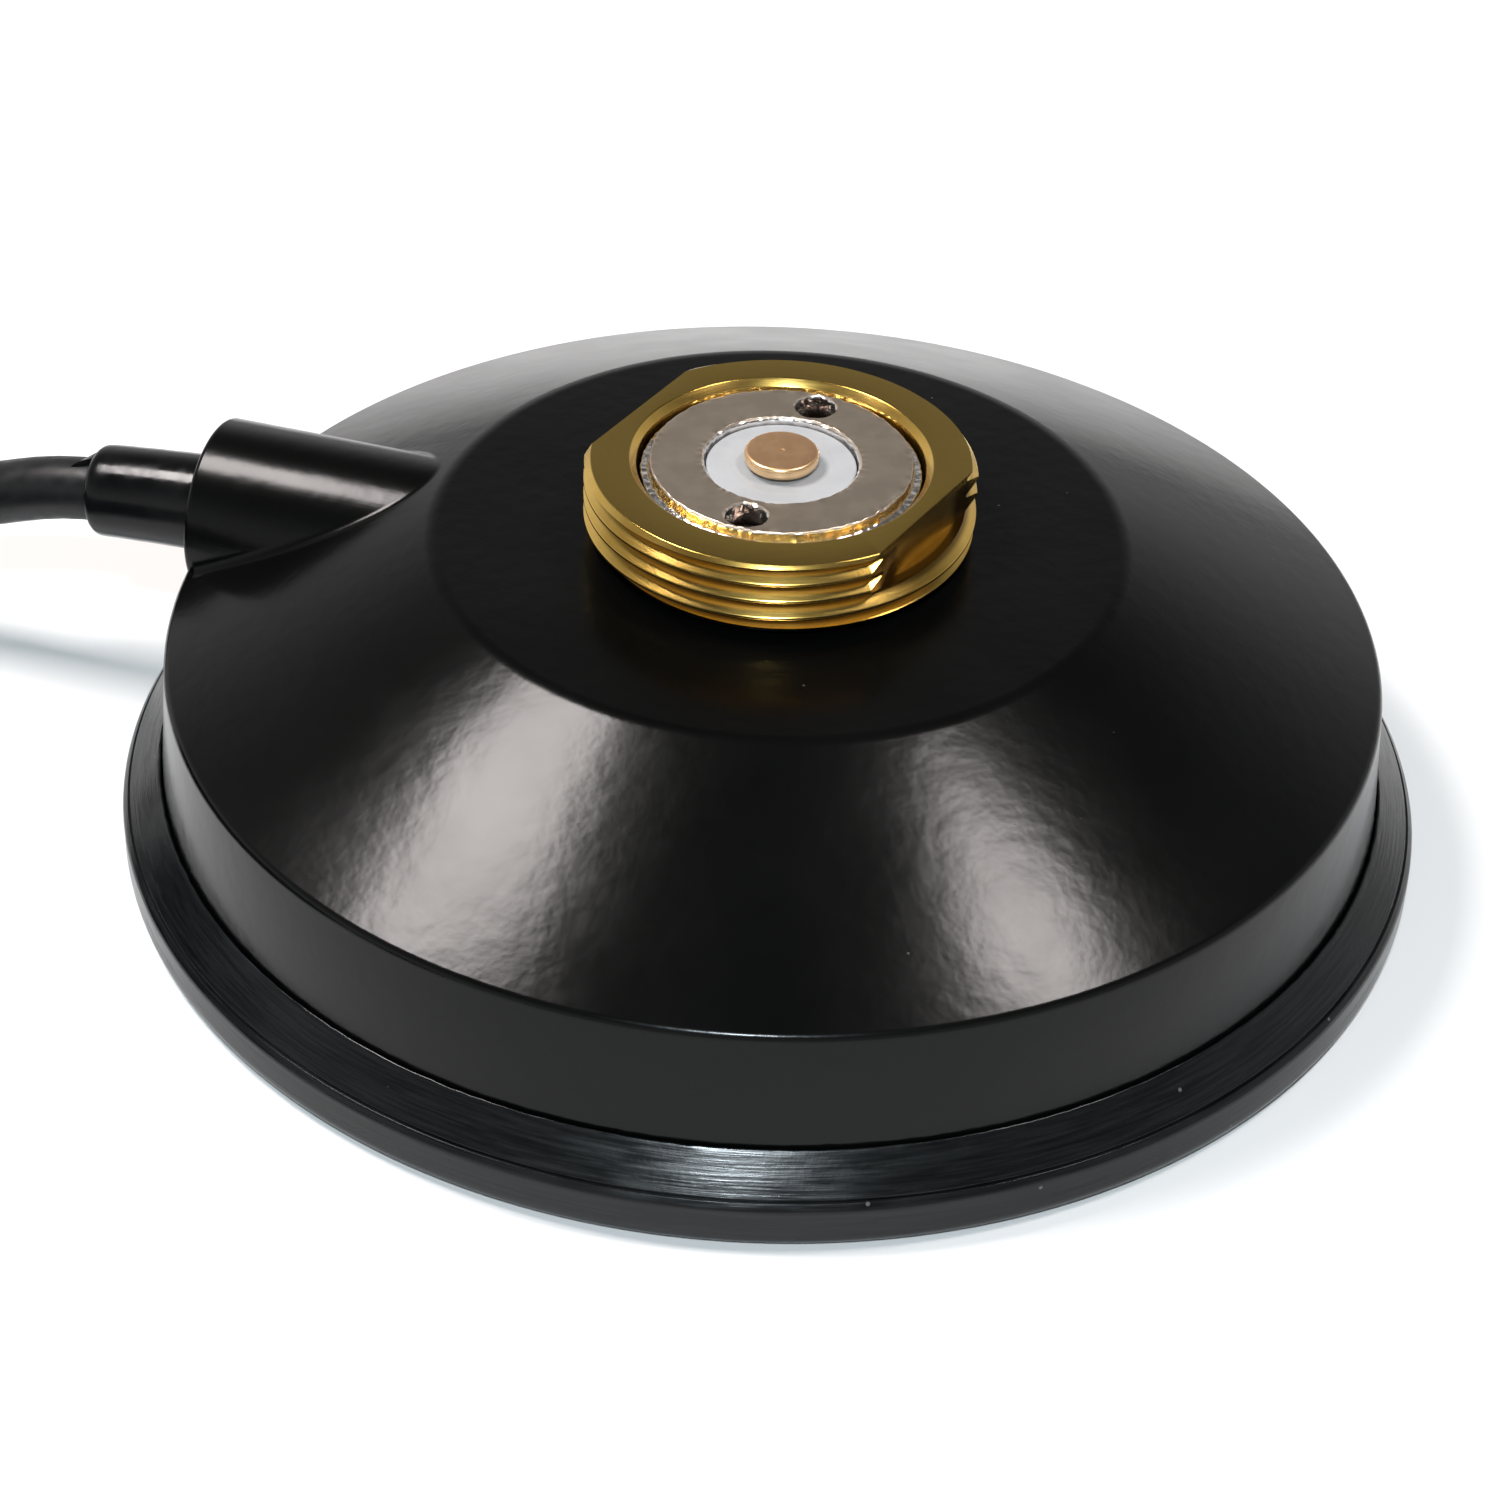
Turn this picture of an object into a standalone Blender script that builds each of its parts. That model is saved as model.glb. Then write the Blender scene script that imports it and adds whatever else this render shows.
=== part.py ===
"""A magnetic antenna mount: a painted housing on a rubber boot, with a ring magnet inside, a
threaded brass antenna seat on top, and a coaxial lead that ends in a screw-on plug."""
import math

import bmesh
import bpy
from mathutils import Matrix, Vector

MM = 0.001
GAP = 0.3 * MM  # clearance between pieces that rest on or in each other

# Housing: a flat top, a cone and a nearly upright skirt
TOP_Z = 25.0 * MM
TOP_R = 25.4 * MM
SKIRT_R = 46.1 * MM  # at its rim
SKIRT_DRAFT = 0.9 * MM  # how much narrower it is at the shoulder
SHOULDER_DROP = 9.55 * MM
WALL = 2.2 * MM
TOP_WALL = 2.5 * MM
TOP_ROUND = 2.4 * MM
SHOULDER_ROUND = 0.9 * MM

# Cable boss, a level cylinder on the housing's flank
BOSS_AZIMUTH = math.radians(164.5)
BOSS_R = 6.8 * MM
BOSS_DROP = 7.4 * MM  # its axis below the flat top
BOSS_INSET = 1.4 * MM  # its outer face inside the skirt's rim
BOSS_ROUND = 0.5 * MM
SLEEVE_DEPTH = 8.0 * MM

# Rubber boot
BOOT_EDGE = 2.9 * MM  # how far it stands out past the skirt
BOOT_FLOOR = 1.8 * MM
BOOT_LIP_Z = 6.6 * MM
BOOT_EDGE_Z = 3.4 * MM
BOOT_ROUND = 1.2 * MM

# Magnet, its backing plate and the riveted pole piece
MAGNET_INSET = 4.6 * MM  # inside the skirt's rim
MAGNET_HEIGHT = 6.5 * MM
PLATE_INSET = 3.5 * MM
PLATE_THICK = 1.5 * MM
POLE_R = 14.0 * MM
POLE_CLEARANCE = 1.5 * MM
RIVET_R = 4.0 * MM
RIVET_HEAD_R = 6.0 * MM
RIVET_HEAD_THICK = 1.0 * MM

# Insulator and centre contact
INSULATOR_R = 5.48 * MM
INSULATOR_SINK = 0.46 * MM  # its top below the connector body's top
INSULATOR_HEIGHT = 6.4 * MM
INSULATOR_NECK = 3.2 * MM
CHAMBER_R = 4.0 * MM
CONTACT_R = 2.72 * MM
CONTACT_RISE = 0.78 * MM  # its top above the connector body's top
CONTACT_ROUND = 0.35 * MM
STEM_R = 1.0 * MM

# Connector body round the insulator, from its top rim down to its cup
BODY_RIM = 4.04 * MM
BODY_LEDGE = 0.68 * MM
BODY_STEP = 0.8 * MM
BODY_SINK = 0.14 * MM  # its top below the nut's top
RIM_ROUND = 0.15 * MM
FLANGE_EDGE = 3.3 * MM  # past the shank
FLANGE_THICK = 1.5 * MM
CUP_EDGE = 0.8 * MM  # past the shank
CUP_WALL = 2.0 * MM
CUP_ROUND = 0.5 * MM
WASHER_THICK = 1.0 * MM
WASHER_TEETH = 18
TOOTH = 0.7 * MM
SPANNER_HOLE_R = 1.5 * MM
SPANNER_HOLE_DEPTH = 2.4 * MM
SPANNER_INSET = 1.77 * MM  # the holes' circle inside the top rim's edge
SPANNER_AZIMUTH = math.radians(72.0)

# Threaded ring round the connector body
NUT_WALL = 4.09 * MM  # from the shank to the thread's crest
THREAD_PITCH = 1.411 * MM
THREAD_DEPTH = 0.8 * MM
THREAD_CREST = 0.18  # shares of the pitch
THREAD_FLANK = 0.26
THREAD_ROOT = 0.18
THREAD_START = 1.06  # pitches below the nut's underside, at azimuth 0
NUT_LIFT = 1.1 * MM  # its underside above the flat top
NUT_HEIGHT = 5.3 * MM
NUT_CHAMFER = 0.5 * MM
FLAT_CUT = 2.08 * MM  # how far the wrench flats cut in from the crest
FLAT_AZIMUTH = math.radians(148.4)
FLAT_DEPTH = 3.2 * MM  # from the nut's top down to the ledge
GASKET_INSET = 1.19 * MM

# Coaxial cable, its crimp and its strain relief sleeve
CABLE_R = 2.475 * MM
CORE_R = 1.475 * MM
WIRE_R = 0.45 * MM
BARREL_R = 3.0 * MM
BARREL_REACH = 5.5 * MM  # past the connector body's flange
JACKET_GAP = 0.4 * MM
FERRULE_WALL = 0.7 * MM
FERRULE_TAIL = 5.2 * MM
FERRULE_ROOM = 1.4 * MM  # from the ferrule's end to the boss
LEAD_INSET = 6.7 * MM  # where the lead inside hands over to the free run, inside the boss's face
SLEEVE_WALL = 1.275 * MM
SLEEVE_TAPER = 0.2 * MM
SLEEVE_OUT = 9.8 * MM  # how far the sleeve stands out of the boss
SLEEVE_ROUND = 0.7 * MM
SLEEVE_LIP = 0.9  # how much of the end's rounding the sleeve's wall takes

# Stored coil of cable, tied, on the floor beside the mount
COIL_X = -116.0 * MM
COIL_Y = -16.0 * MM
INNER_TURN_R = 20.6 * MM
TURN_PITCH = 5.05 * MM
TURNS_ACROSS = 5
TURN_ROWS = 4
COIL_ROUND = 2.3 * MM
TIE_THICK = 1.2 * MM
TIE_WIDTH = 4.8 * MM
TIE_SIDE_GAP = 0.5 * MM
TIE_ROUND = 2.4 * MM
TIE_HEAD = (5.5 * MM, 7.0 * MM, 8.0 * MM)
TIE_HEAD_ROUND = 0.6 * MM
TIE_AZIMUTHS = (math.radians(-20.0), math.radians(140.0))

# Plug on the cable's end, lying along +X, from its bore outward
PLUG_X = -114.0 * MM
PLUG_Y = -72.0 * MM
PLUG_BORE_R = 5.3 * MM
PLUG_WALL = 0.9 * MM
PLUG_WEB_R = 3.6 * MM
PLUG_FLANGE_EDGE = 1.4 * MM  # past the barrel
PLUG_FLANGE = 3.0 * MM
PLUG_NOSE_INSET = 0.6 * MM  # inside the flange
PLUG_NOSE_WALL = 1.4 * MM
PLUG_NOSE = 4.0 * MM
PLUG_NOTCHES = 4
PLUG_NOTCH = 0.9 * MM
SOLDER_HOLE_R = 1.5 * MM
RING_PLAY = 0.35 * MM
RING_WALL = 1.15 * MM
RING_START = 17.0 * MM
RING_LENGTH = 20.5 * MM
RING_LIP = 4.7 * MM
KNURLS = 32
KNURL_DEPTH = 0.4 * MM
ADAPTER_INSET = 0.2 * MM  # its flange inside the plug's barrel
ADAPTER_FLANGE = 3.5 * MM
ADAPTER_LENGTH = 12.0 * MM
PIN_R = 1.98 * MM
PIN_REACH = 0.7 * MM  # past the coupling ring's front
PIN_ROUND = 0.7 * MM
PIN_HOLE_R = 1.1 * MM
PLUG_SLEEVE_WALL = 0.925 * MM
PLUG_SLEEVE_LENGTH = 14.0 * MM
PLUG_SLEEVE_ROUND = 0.4 * MM

# Round pieces are turned in this many steps
LARGE_STEPS = 64
MEDIUM_STEPS = 40
SMALL_STEPS = 28
CABLE_STEPS = 20
WIRE_STEPS = 12
ARC_STEPS = 2
ARC_SHARE = 0.45  # the most of a side that a rounded corner takes
SHARP_ANGLE = math.radians(30.0)
SLEEVE_STATIONS = 4
CABLE_SPACING = 2.2 * 2 * CABLE_R
CURVE_STEPS = 16
SEAM_DISTANCE = 0.001 * MM
WELD_DISTANCE = 0.004 * MM

# The free run of cable: after the boss it comes down to the floor and meets the coil's side.
# The cable's end leaves the coil's top row and comes round to the plug.
RUN_POINTS = (
    (-54.0, 14.9, 16.7),
    (-60.0, 16.5, 15.1),
    (-67.0, 18.5, 12.2),
    (-75.0, 20.7, 8.5),
    (-83.0, 22.8, 5.7),
    (-90.0, 24.3, 4.4),
)
END_POINTS = (
    (-155.9, -39.2, 16.0),
    (-155.6, -49.0, 14.2),
    (-152.2, -58.6, 12.3),
    (-146.0, -66.0, 10.8),
    (-137.6, -70.8, 9.8),
)

# Heights and radii that follow from the values above
SHOULDER_Z = TOP_Z - SHOULDER_DROP
SHOULDER_R = SKIRT_R - SKIRT_DRAFT
RIM_Z = BOOT_FLOOR + GAP
UNDER_TOP = TOP_Z - TOP_WALL
BOOT_R = SKIRT_R + BOOT_EDGE
MAGNET_R = SKIRT_R - MAGNET_INSET
MAGNET_BORE_R = POLE_R + POLE_CLEARANCE
MAGNET_Z = BOOT_FLOOR + GAP
PLATE_R = SKIRT_R - PLATE_INSET
PLATE_Z = MAGNET_Z + MAGNET_HEIGHT + GAP
PLATE_TOP = PLATE_Z + PLATE_THICK
BODY_TOP_R = INSULATOR_R + BODY_RIM
BODY_R = BODY_TOP_R + BODY_LEDGE
FLANGE_R = BODY_R + FLANGE_EDGE
CUP_R = BODY_R + CUP_EDGE
SPANNER_CIRCLE_R = BODY_TOP_R - SPANNER_INSET
THREAD_R = BODY_R + NUT_WALL
GASKET_R = THREAD_R - GASKET_INSET
NUT_Z = TOP_Z + NUT_LIFT
NUT_TOP = NUT_Z + NUT_HEIGHT
BODY_TOP = NUT_TOP - BODY_SINK
INSULATOR_TOP = BODY_TOP - INSULATOR_SINK
WASHER_Z = UNDER_TOP - GAP - WASHER_THICK
FLANGE_TOP = WASHER_Z - GAP
BOSS_Z = TOP_Z - BOSS_DROP
CUP_BOTTOM = BOSS_Z - BARREL_R - CUP_WALL / 2
BARREL_END = FLANGE_R + BARREL_REACH
JACKET_START = BARREL_END + JACKET_GAP
FERRULE_END = JACKET_START + FERRULE_TAIL
BOSS_START = FERRULE_END + FERRULE_ROOM
BOSS_END = SKIRT_R - BOSS_INSET
LEAD_SPLIT = BOSS_END - LEAD_INSET
SLEEVE_R = CABLE_R + SLEEVE_WALL
SLEEVE_TIP_R = SLEEVE_R - SLEEVE_TAPER
COIL_BASE = TIE_THICK + GAP
COIL_R = INNER_TURN_R + (TURNS_ACROSS - 1) * TURN_PITCH + CABLE_R
COIL_BORE_R = INNER_TURN_R - CABLE_R
COIL_HEIGHT = TURN_ROWS * 2 * CABLE_R + GAP
PLUG_BARREL_R = PLUG_BORE_R + PLUG_WALL
PLUG_FLANGE_R = PLUG_BARREL_R + PLUG_FLANGE_EDGE
PLUG_NOSE_R = PLUG_FLANGE_R - PLUG_NOSE_INSET
PLUG_FRONT_BORE_R = PLUG_NOSE_R - PLUG_NOSE_WALL
PLUG_SLEEVE_R = CABLE_R + PLUG_SLEEVE_WALL
ADAPTER_FLANGE_R = PLUG_BARREL_R - ADAPTER_INSET
RING_BORE_R = PLUG_FLANGE_R + RING_PLAY
RING_R = RING_BORE_R + RING_WALL
RING_END = RING_START + RING_LENGTH
PLUG_Z = RING_R + GAP
PLUG_BACK = ADAPTER_FLANGE + GAP
PLUG_WEB_START = ADAPTER_LENGTH + 2 * GAP
FLANGE_START = RING_START + RING_LIP + GAP
PLUG_WEB_END = FLANGE_START + PLUG_FLANGE / 3
NOSE_START = FLANGE_START + PLUG_FLANGE
NOSE_END = NOSE_START + PLUG_NOSE


def skirt_radius(z):
    """The skirt's outer radius at height z."""
    return SHOULDER_R + SKIRT_DRAFT * (SHOULDER_Z - z) / (SHOULDER_Z - RIM_Z)


def clear_scene():
    for item in list(bpy.data.objects):
        bpy.data.objects.remove(item, do_unlink=True)


def paint(name, color, roughness, metallic=0.0):
    """A Principled material, made once."""
    if name in bpy.data.materials:
        return bpy.data.materials[name]
    made = bpy.data.materials.new(name)
    made.use_nodes = True
    shader = made.node_tree.nodes["Principled BSDF"]
    shader.inputs["Base Color"].default_value = (*color, 1.0)
    shader.inputs["Roughness"].default_value = roughness
    shader.inputs["Metallic"].default_value = metallic
    return made


def black_paint():
    return paint("black_paint", (0.012, 0.012, 0.012), 0.3)


def black_rubber():
    return paint("black_rubber", (0.018, 0.019, 0.02), 0.55)


def ferrite():
    return paint("ferrite", (0.05, 0.05, 0.055), 0.7)


def zinc_steel():
    return paint("zinc_steel", (0.55, 0.56, 0.58), 0.35, 1.0)


def nickel():
    return paint("nickel", (0.5, 0.46, 0.42), 0.3, 1.0)


def brass():
    return paint("brass", (0.68, 0.5, 0.16), 0.3, 1.0)


def copper():
    return paint("copper", (0.7, 0.42, 0.26), 0.35, 1.0)


def white_resin():
    return paint("white_resin", (0.85, 0.86, 0.87), 0.45)


def cable_jacket():
    return paint("cable_jacket", (0.015, 0.015, 0.016), 0.4)


def glossy_sleeve():
    return paint("glossy_sleeve", (0.01, 0.01, 0.01), 0.2)


def add_object(name, bm, material, parent=None):
    """A named object from a bmesh, shaded smooth below a sharp angle."""
    bmesh.ops.recalc_face_normals(bm, faces=bm.faces)
    mesh = bpy.data.meshes.new(name)
    bm.to_mesh(mesh)
    bm.free()
    mesh.shade_smooth()
    mesh.set_sharp_from_angle(angle=SHARP_ANGLE)
    made = bpy.data.objects.new(name, mesh)
    bpy.context.scene.collection.objects.link(made)
    if material is not None:
        mesh.materials.append(material)
    made.parent = parent
    return made


def rounded(corners, steps=ARC_STEPS):
    """Points of a profile whose corners (r, z, radius) are rounded by arcs."""
    points = []
    for index, corner in enumerate(corners):
        here = Vector(corner[:2])
        radius = corner[2] if len(corner) > 2 else 0.0
        if radius <= 0.0:
            points.append(here)
            continue
        before = Vector(corners[index - 1][:2]) - here
        after = Vector(corners[(index + 1) % len(corners)][:2]) - here
        half = before.angle(after) / 2
        most = ARC_SHARE * min(before.length, after.length)
        reach = min(radius / math.tan(half), most)
        radius = reach * math.tan(half)
        inward = (before.normalized() + after.normalized()).normalized()
        centre = here + inward * radius / math.sin(half)
        first = here + before.normalized() * reach - centre
        last = here + after.normalized() * reach - centre
        turn = first.angle_signed(last)
        for step in range(steps + 1):
            angle = -turn * step / steps
            points.append(centre + Matrix.Rotation(angle, 2) @ first)
    return points


def turned_mesh(corners, steps, arc_steps=ARC_STEPS):
    """A body turned about Z from a profile. A profile that starts and ends on the axis is left
    open there, and any other is closed."""
    points = rounded(corners, arc_steps)
    bm = bmesh.new()
    verts = [bm.verts.new((point.x, 0.0, point.y)) for point in points]
    edges = [bm.edges.new(pair) for pair in zip(verts, verts[1:])]
    if points[0].x > 0.0 or points[-1].x > 0.0:
        edges.append(bm.edges.new((verts[-1], verts[0])))
    axis = {"cent": (0, 0, 0), "axis": (0, 0, 1)}
    bmesh.ops.spin(bm, geom=verts + edges, angle=math.tau, steps=steps, **axis)
    bmesh.ops.remove_doubles(bm, verts=bm.verts, dist=SEAM_DISTANCE)
    bmesh.ops.dissolve_degenerate(bm, edges=bm.edges, dist=SEAM_DISTANCE)
    return bm


def turned(name, corners, material, steps=MEDIUM_STEPS, parent=None):
    """A turned piece about its parent's axis."""
    return add_object(name, turned_mesh(corners, steps), material, parent)


def flute(bm, teeth, depth, least_r, low, high):
    """Push every second column of a turned surface inward between two heights."""
    for vert in bm.verts:
        radius = math.hypot(vert.co.x, vert.co.y)
        column = round(math.atan2(vert.co.y, vert.co.x) / math.tau * 2 * teeth)
        if column % 2 and radius > least_r and low < vert.co.z < high:
            vert.co.x *= 1 - depth / radius
            vert.co.y *= 1 - depth / radius


def rod(radius, low, high):
    """The profile of a solid round rod."""
    return [(0.0, low), (radius, low), (radius, high), (0.0, high)]


def tube(inner, outer, low, high):
    """The profile of a plain round tube."""
    return [(inner, low), (outer, low), (outer, high), (inner, high)]


def boolean(target, tool, operation):
    """Join or cut a piece with a tool, which then only serves as a guide."""
    modifier = target.modifiers.new(tool.name, "BOOLEAN")
    modifier.operation = operation
    modifier.object = tool
    weld = target.modifiers.new(f"{tool.name}_weld", "WELD")
    weld.merge_threshold = WELD_DISTANCE
    tool.hide_render = True
    tool.display_type = "WIRE"


def block(name, size, round_edge=0.0, parent=None):
    """A box of a size about its own origin, its edges rounded if asked."""
    bm = bmesh.new()
    bmesh.ops.create_cube(bm, size=1.0)
    bmesh.ops.scale(bm, vec=size, verts=bm.verts)
    if round_edge > 0.0:
        bmesh.ops.bevel(bm, geom=bm.edges, offset=round_edge, segments=ARC_STEPS, affect="EDGES")
    return add_object(name, bm, None, parent)


def axis_empty(name, place, direction):
    """An empty whose local Z runs along a direction."""
    made = bpy.data.objects.new(name, None)
    bpy.context.scene.collection.objects.link(made)
    made.location = place
    made.rotation_euler = direction.to_track_quat("Z", "Y").to_euler()
    return made


def smooth_curve(route):
    """The smooth curve through a route's points, as closely spaced points."""
    ends = [2 * route[0] - route[1], *route, 2 * route[-1] - route[-2]]
    fine = []
    for a, b, c, d in zip(ends, ends[1:], ends[2:], ends[3:]):
        for step in range(CURVE_STEPS):
            t = step / CURVE_STEPS
            bend = (2 * a - 5 * b + 4 * c - d) * t**2
            twist = (3 * b - a - 3 * c + d) * t**3
            fine.append(0.5 * (2 * b + (c - a) * t + bend + twist))
    fine.append(route[-1])
    return fine


def curve_length(fine):
    return sum((b - a).length for a, b in zip(fine, fine[1:]))


def points_at(fine, distances):
    """The points at rising distances along a curve of closely spaced points."""
    points = []
    index = 0
    before = 0.0
    for distance in distances:
        stretch = (fine[index + 1] - fine[index]).length
        while index < len(fine) - 2 and before + stretch < distance:
            before += stretch
            index += 1
            stretch = (fine[index + 1] - fine[index]).length
        points.append(fine[index].lerp(fine[index + 1], (distance - before) / stretch))
    return points


def cable(name, route):
    """A plain round cable along a route: a curve with straight stretches and filled ends."""
    fine = smooth_curve(route)
    length = curve_length(fine)
    count = round(length / CABLE_SPACING)
    points = points_at(fine, [length * step / count for step in range(count + 1)])
    curve = bpy.data.curves.new(name, "CURVE")
    curve.dimensions = "3D"
    curve.bevel_depth = CABLE_R
    curve.bevel_resolution = 3
    curve.use_fill_caps = True
    spline = curve.splines.new("POLY")
    spline.points.add(len(points) - 1)
    for spot, point in zip(spline.points, points):
        spot.co = (*point, 1.0)
    made = bpy.data.objects.new(name, curve)
    bpy.context.scene.collection.objects.link(made)
    curve.materials.append(cable_jacket())
    return made


def swept_sleeve(name, points, outers, inner, material, steps=CABLE_STEPS):
    """A sleeve whose bore follows a cable, with its own outer radius at each point."""
    bm = bmesh.new()
    rings = []
    for index, point in enumerate(points):
        along = points[min(index + 1, len(points) - 1)] - points[max(index - 1, 0)]
        turn = along.to_track_quat("Z", "Y")
        for radius in (outers[index], inner):
            ring = []
            for step in range(steps):
                angle = math.tau * step / steps
                spoke = Vector((radius * math.cos(angle), radius * math.sin(angle), 0.0))
                ring.append(bm.verts.new(point + turn @ spoke))
            rings.append(ring)
    outer_rings = rings[0::2]
    inner_rings = rings[1::2]
    loop = outer_rings + inner_rings[::-1]
    for first, second in zip(loop, loop[1:] + loop[:1]):
        for step in range(steps):
            after = (step + 1) % steps
            bm.faces.new((first[step], first[after], second[after], second[step]))
    return add_object(name, bm, material)


def helical_rod(name, radius, low, high, steps):
    """A rod with a true helical thread on it: each pitch has a crest, a flank, a root and a
    flank, and every row of the mesh follows the helix."""
    root = radius - THREAD_DEPTH
    flank_end = THREAD_CREST + THREAD_FLANK
    rows = ((0.0, radius), (THREAD_CREST, radius), (flank_end, root), (flank_end + THREAD_ROOT, root))
    turns = math.ceil((high - low) / THREAD_PITCH) + 2
    bm = bmesh.new()
    grid = []
    for turn in range(turns):
        for share, row_r in rows:
            ring = []
            for step in range(steps):
                angle = math.tau * step / steps
                z = low + THREAD_PITCH * (turn - THREAD_START + share + step / steps)
                ring.append(bm.verts.new((row_r * math.cos(angle), row_r * math.sin(angle), z)))
            grid.append(ring)
    count = len(rows)
    for lower, upper in zip(grid, grid[1:]):
        for step in range(steps - 1):
            bm.faces.new((lower[step], lower[step + 1], upper[step + 1], upper[step]))
    for row in range(len(grid) - 1 - count):
        above = grid[row + count]
        bm.faces.new((grid[row][-1], above[0], grid[row + count + 1][0], grid[row + 1][-1]))
    bottom = bm.verts.new((0.0, 0.0, low - 2 * THREAD_PITCH))
    top = bm.verts.new((0.0, 0.0, grid[-1][-1].co.z + THREAD_PITCH))
    bottom_rim = [ring[0] for ring in grid[count::-1]] + grid[0][1:] + [grid[count][0]]
    top_rim = grid[-1] + [ring[-1] for ring in grid[-2:-2 - count:-1]] + [grid[-1][0]]
    for rim, tip in ((bottom_rim, bottom), (top_rim, top)):
        for a, b in zip(rim, rim[1:]):
            bm.faces.new((a, b, tip))
    return add_object(name, bm, None)


def make_housing(cable_axis):
    """The cast shell: top, cone and skirt in one, with the boss joined on and bored."""
    slope = SHOULDER_DROP / (SHOULDER_R - TOP_R)
    drop = WALL * math.hypot(1.0, slope)  # the cone's wall, measured straight down
    inner_shoulder_r = SHOULDER_R - WALL
    inner_shoulder_z = TOP_Z - (inner_shoulder_r - TOP_R) * slope - drop
    inner_top_r = TOP_R + (TOP_WALL - drop) / slope
    hole_r = BODY_R + GAP
    profile = [
        (hole_r, TOP_Z),
        (TOP_R, TOP_Z, TOP_ROUND),
        (SHOULDER_R, SHOULDER_Z, SHOULDER_ROUND),
        (SKIRT_R, RIM_Z),
        (SKIRT_R - WALL, RIM_Z),
        (inner_shoulder_r, inner_shoulder_z),
        (inner_top_r, UNDER_TOP),
        (hole_r, UNDER_TOP),
    ]
    housing = turned("housing", profile, black_paint(), LARGE_STEPS)
    boss_profile = [
        (0.0, BOSS_START),
        (BOSS_R, BOSS_START),
        (BOSS_R, BOSS_END, BOSS_ROUND),
        (0.0, BOSS_END),
    ]
    boss = turned("boss_form", boss_profile, None, MEDIUM_STEPS, cable_axis)
    boolean(housing, boss, "UNION")
    bore_start = BOSS_END - SLEEVE_DEPTH
    bores = (
        ("sleeve_bore", SLEEVE_R + GAP, bore_start, SKIRT_R + WALL),
        ("cable_bore", CABLE_R + GAP, BOSS_START - WALL, bore_start + GAP),
    )
    for name, radius, low, high in bores:
        bore = turned(name, rod(radius, low, high), None, CABLE_STEPS, cable_axis)
        boolean(housing, bore, "DIFFERENCE")


def make_boot():
    """The rubber boot: a flat floor and a lip that stands round the skirt."""
    lip_r = skirt_radius(BOOT_LIP_Z) + GAP
    profile = [
        (0.0, 0.0),
        (BOOT_R, 0.0, BOOT_ROUND),
        (BOOT_R, BOOT_EDGE_Z, BOOT_ROUND),
        (lip_r, BOOT_LIP_Z),
        (skirt_radius(BOOT_FLOOR) + GAP, BOOT_FLOOR),
        (0.0, BOOT_FLOOR),
    ]
    turned("rubber_boot", profile, black_rubber(), LARGE_STEPS)


def make_magnet():
    """The ring magnet under its steel plate, and the pole piece riveted through the plate."""
    magnet_top = MAGNET_Z + MAGNET_HEIGHT
    turned("ring_magnet", tube(MAGNET_BORE_R, MAGNET_R, MAGNET_Z, magnet_top), ferrite())
    turned("backing_plate", tube(RIVET_R + GAP, PLATE_R, PLATE_Z, PLATE_TOP), zinc_steel())
    head_z = PLATE_TOP + GAP
    profile = [
        (0.0, MAGNET_Z),
        (POLE_R, MAGNET_Z),
        (POLE_R, magnet_top),
        (RIVET_R, magnet_top),
        (RIVET_R, head_z),
        (RIVET_HEAD_R, head_z),
        (RIVET_HEAD_R, head_z + RIVET_HEAD_THICK, RIVET_HEAD_THICK / 2),
        (0.0, head_z + RIVET_HEAD_THICK),
    ]
    turned("pole_piece", profile, zinc_steel(), SMALL_STEPS)


def make_ring_nut():
    """The brass ring: a threaded rod trimmed to a chamfered blank, bored, with two wrench flats
    that stop at a ledge."""
    nut = helical_rod("ring_nut", THREAD_R, NUT_Z, NUT_TOP, MEDIUM_STEPS)
    nut.data.materials.append(brass())
    outside = THREAD_R + THREAD_DEPTH
    chamfer_r = THREAD_R - NUT_CHAMFER
    bore_r = BODY_R + GAP
    blank_profile = [
        (bore_r, NUT_Z),
        (THREAD_R - THREAD_DEPTH / 2, NUT_Z),
        (outside, NUT_Z + THREAD_DEPTH),
        (outside, NUT_TOP - (outside - chamfer_r)),
        (chamfer_r, NUT_TOP),
        (bore_r + NUT_CHAMFER, NUT_TOP),
        (bore_r, NUT_TOP - NUT_CHAMFER),
    ]
    blank = turned("nut_blank", blank_profile, None, MEDIUM_STEPS)
    boolean(nut, blank, "INTERSECT")
    flat_distance = THREAD_R - FLAT_CUT
    ledge_z = NUT_TOP - FLAT_DEPTH
    for side in (0, 1):
        cutter = block(f"flat_cutter_{side + 1}", (THREAD_R, 3 * THREAD_R, THREAD_R))
        azimuth = FLAT_AZIMUTH + side * math.pi
        away = flat_distance + THREAD_R / 2
        cutter.location = (away * math.cos(azimuth), away * math.sin(azimuth), ledge_z + THREAD_R / 2)
        cutter.rotation_euler = (0.0, 0.0, azimuth)
        boolean(nut, cutter, "DIFFERENCE")
    gasket = tube(BODY_R + GAP, GASKET_R, TOP_Z + GAP, NUT_Z - GAP)
    turned("ring_gasket", gasket, black_rubber())


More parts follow.
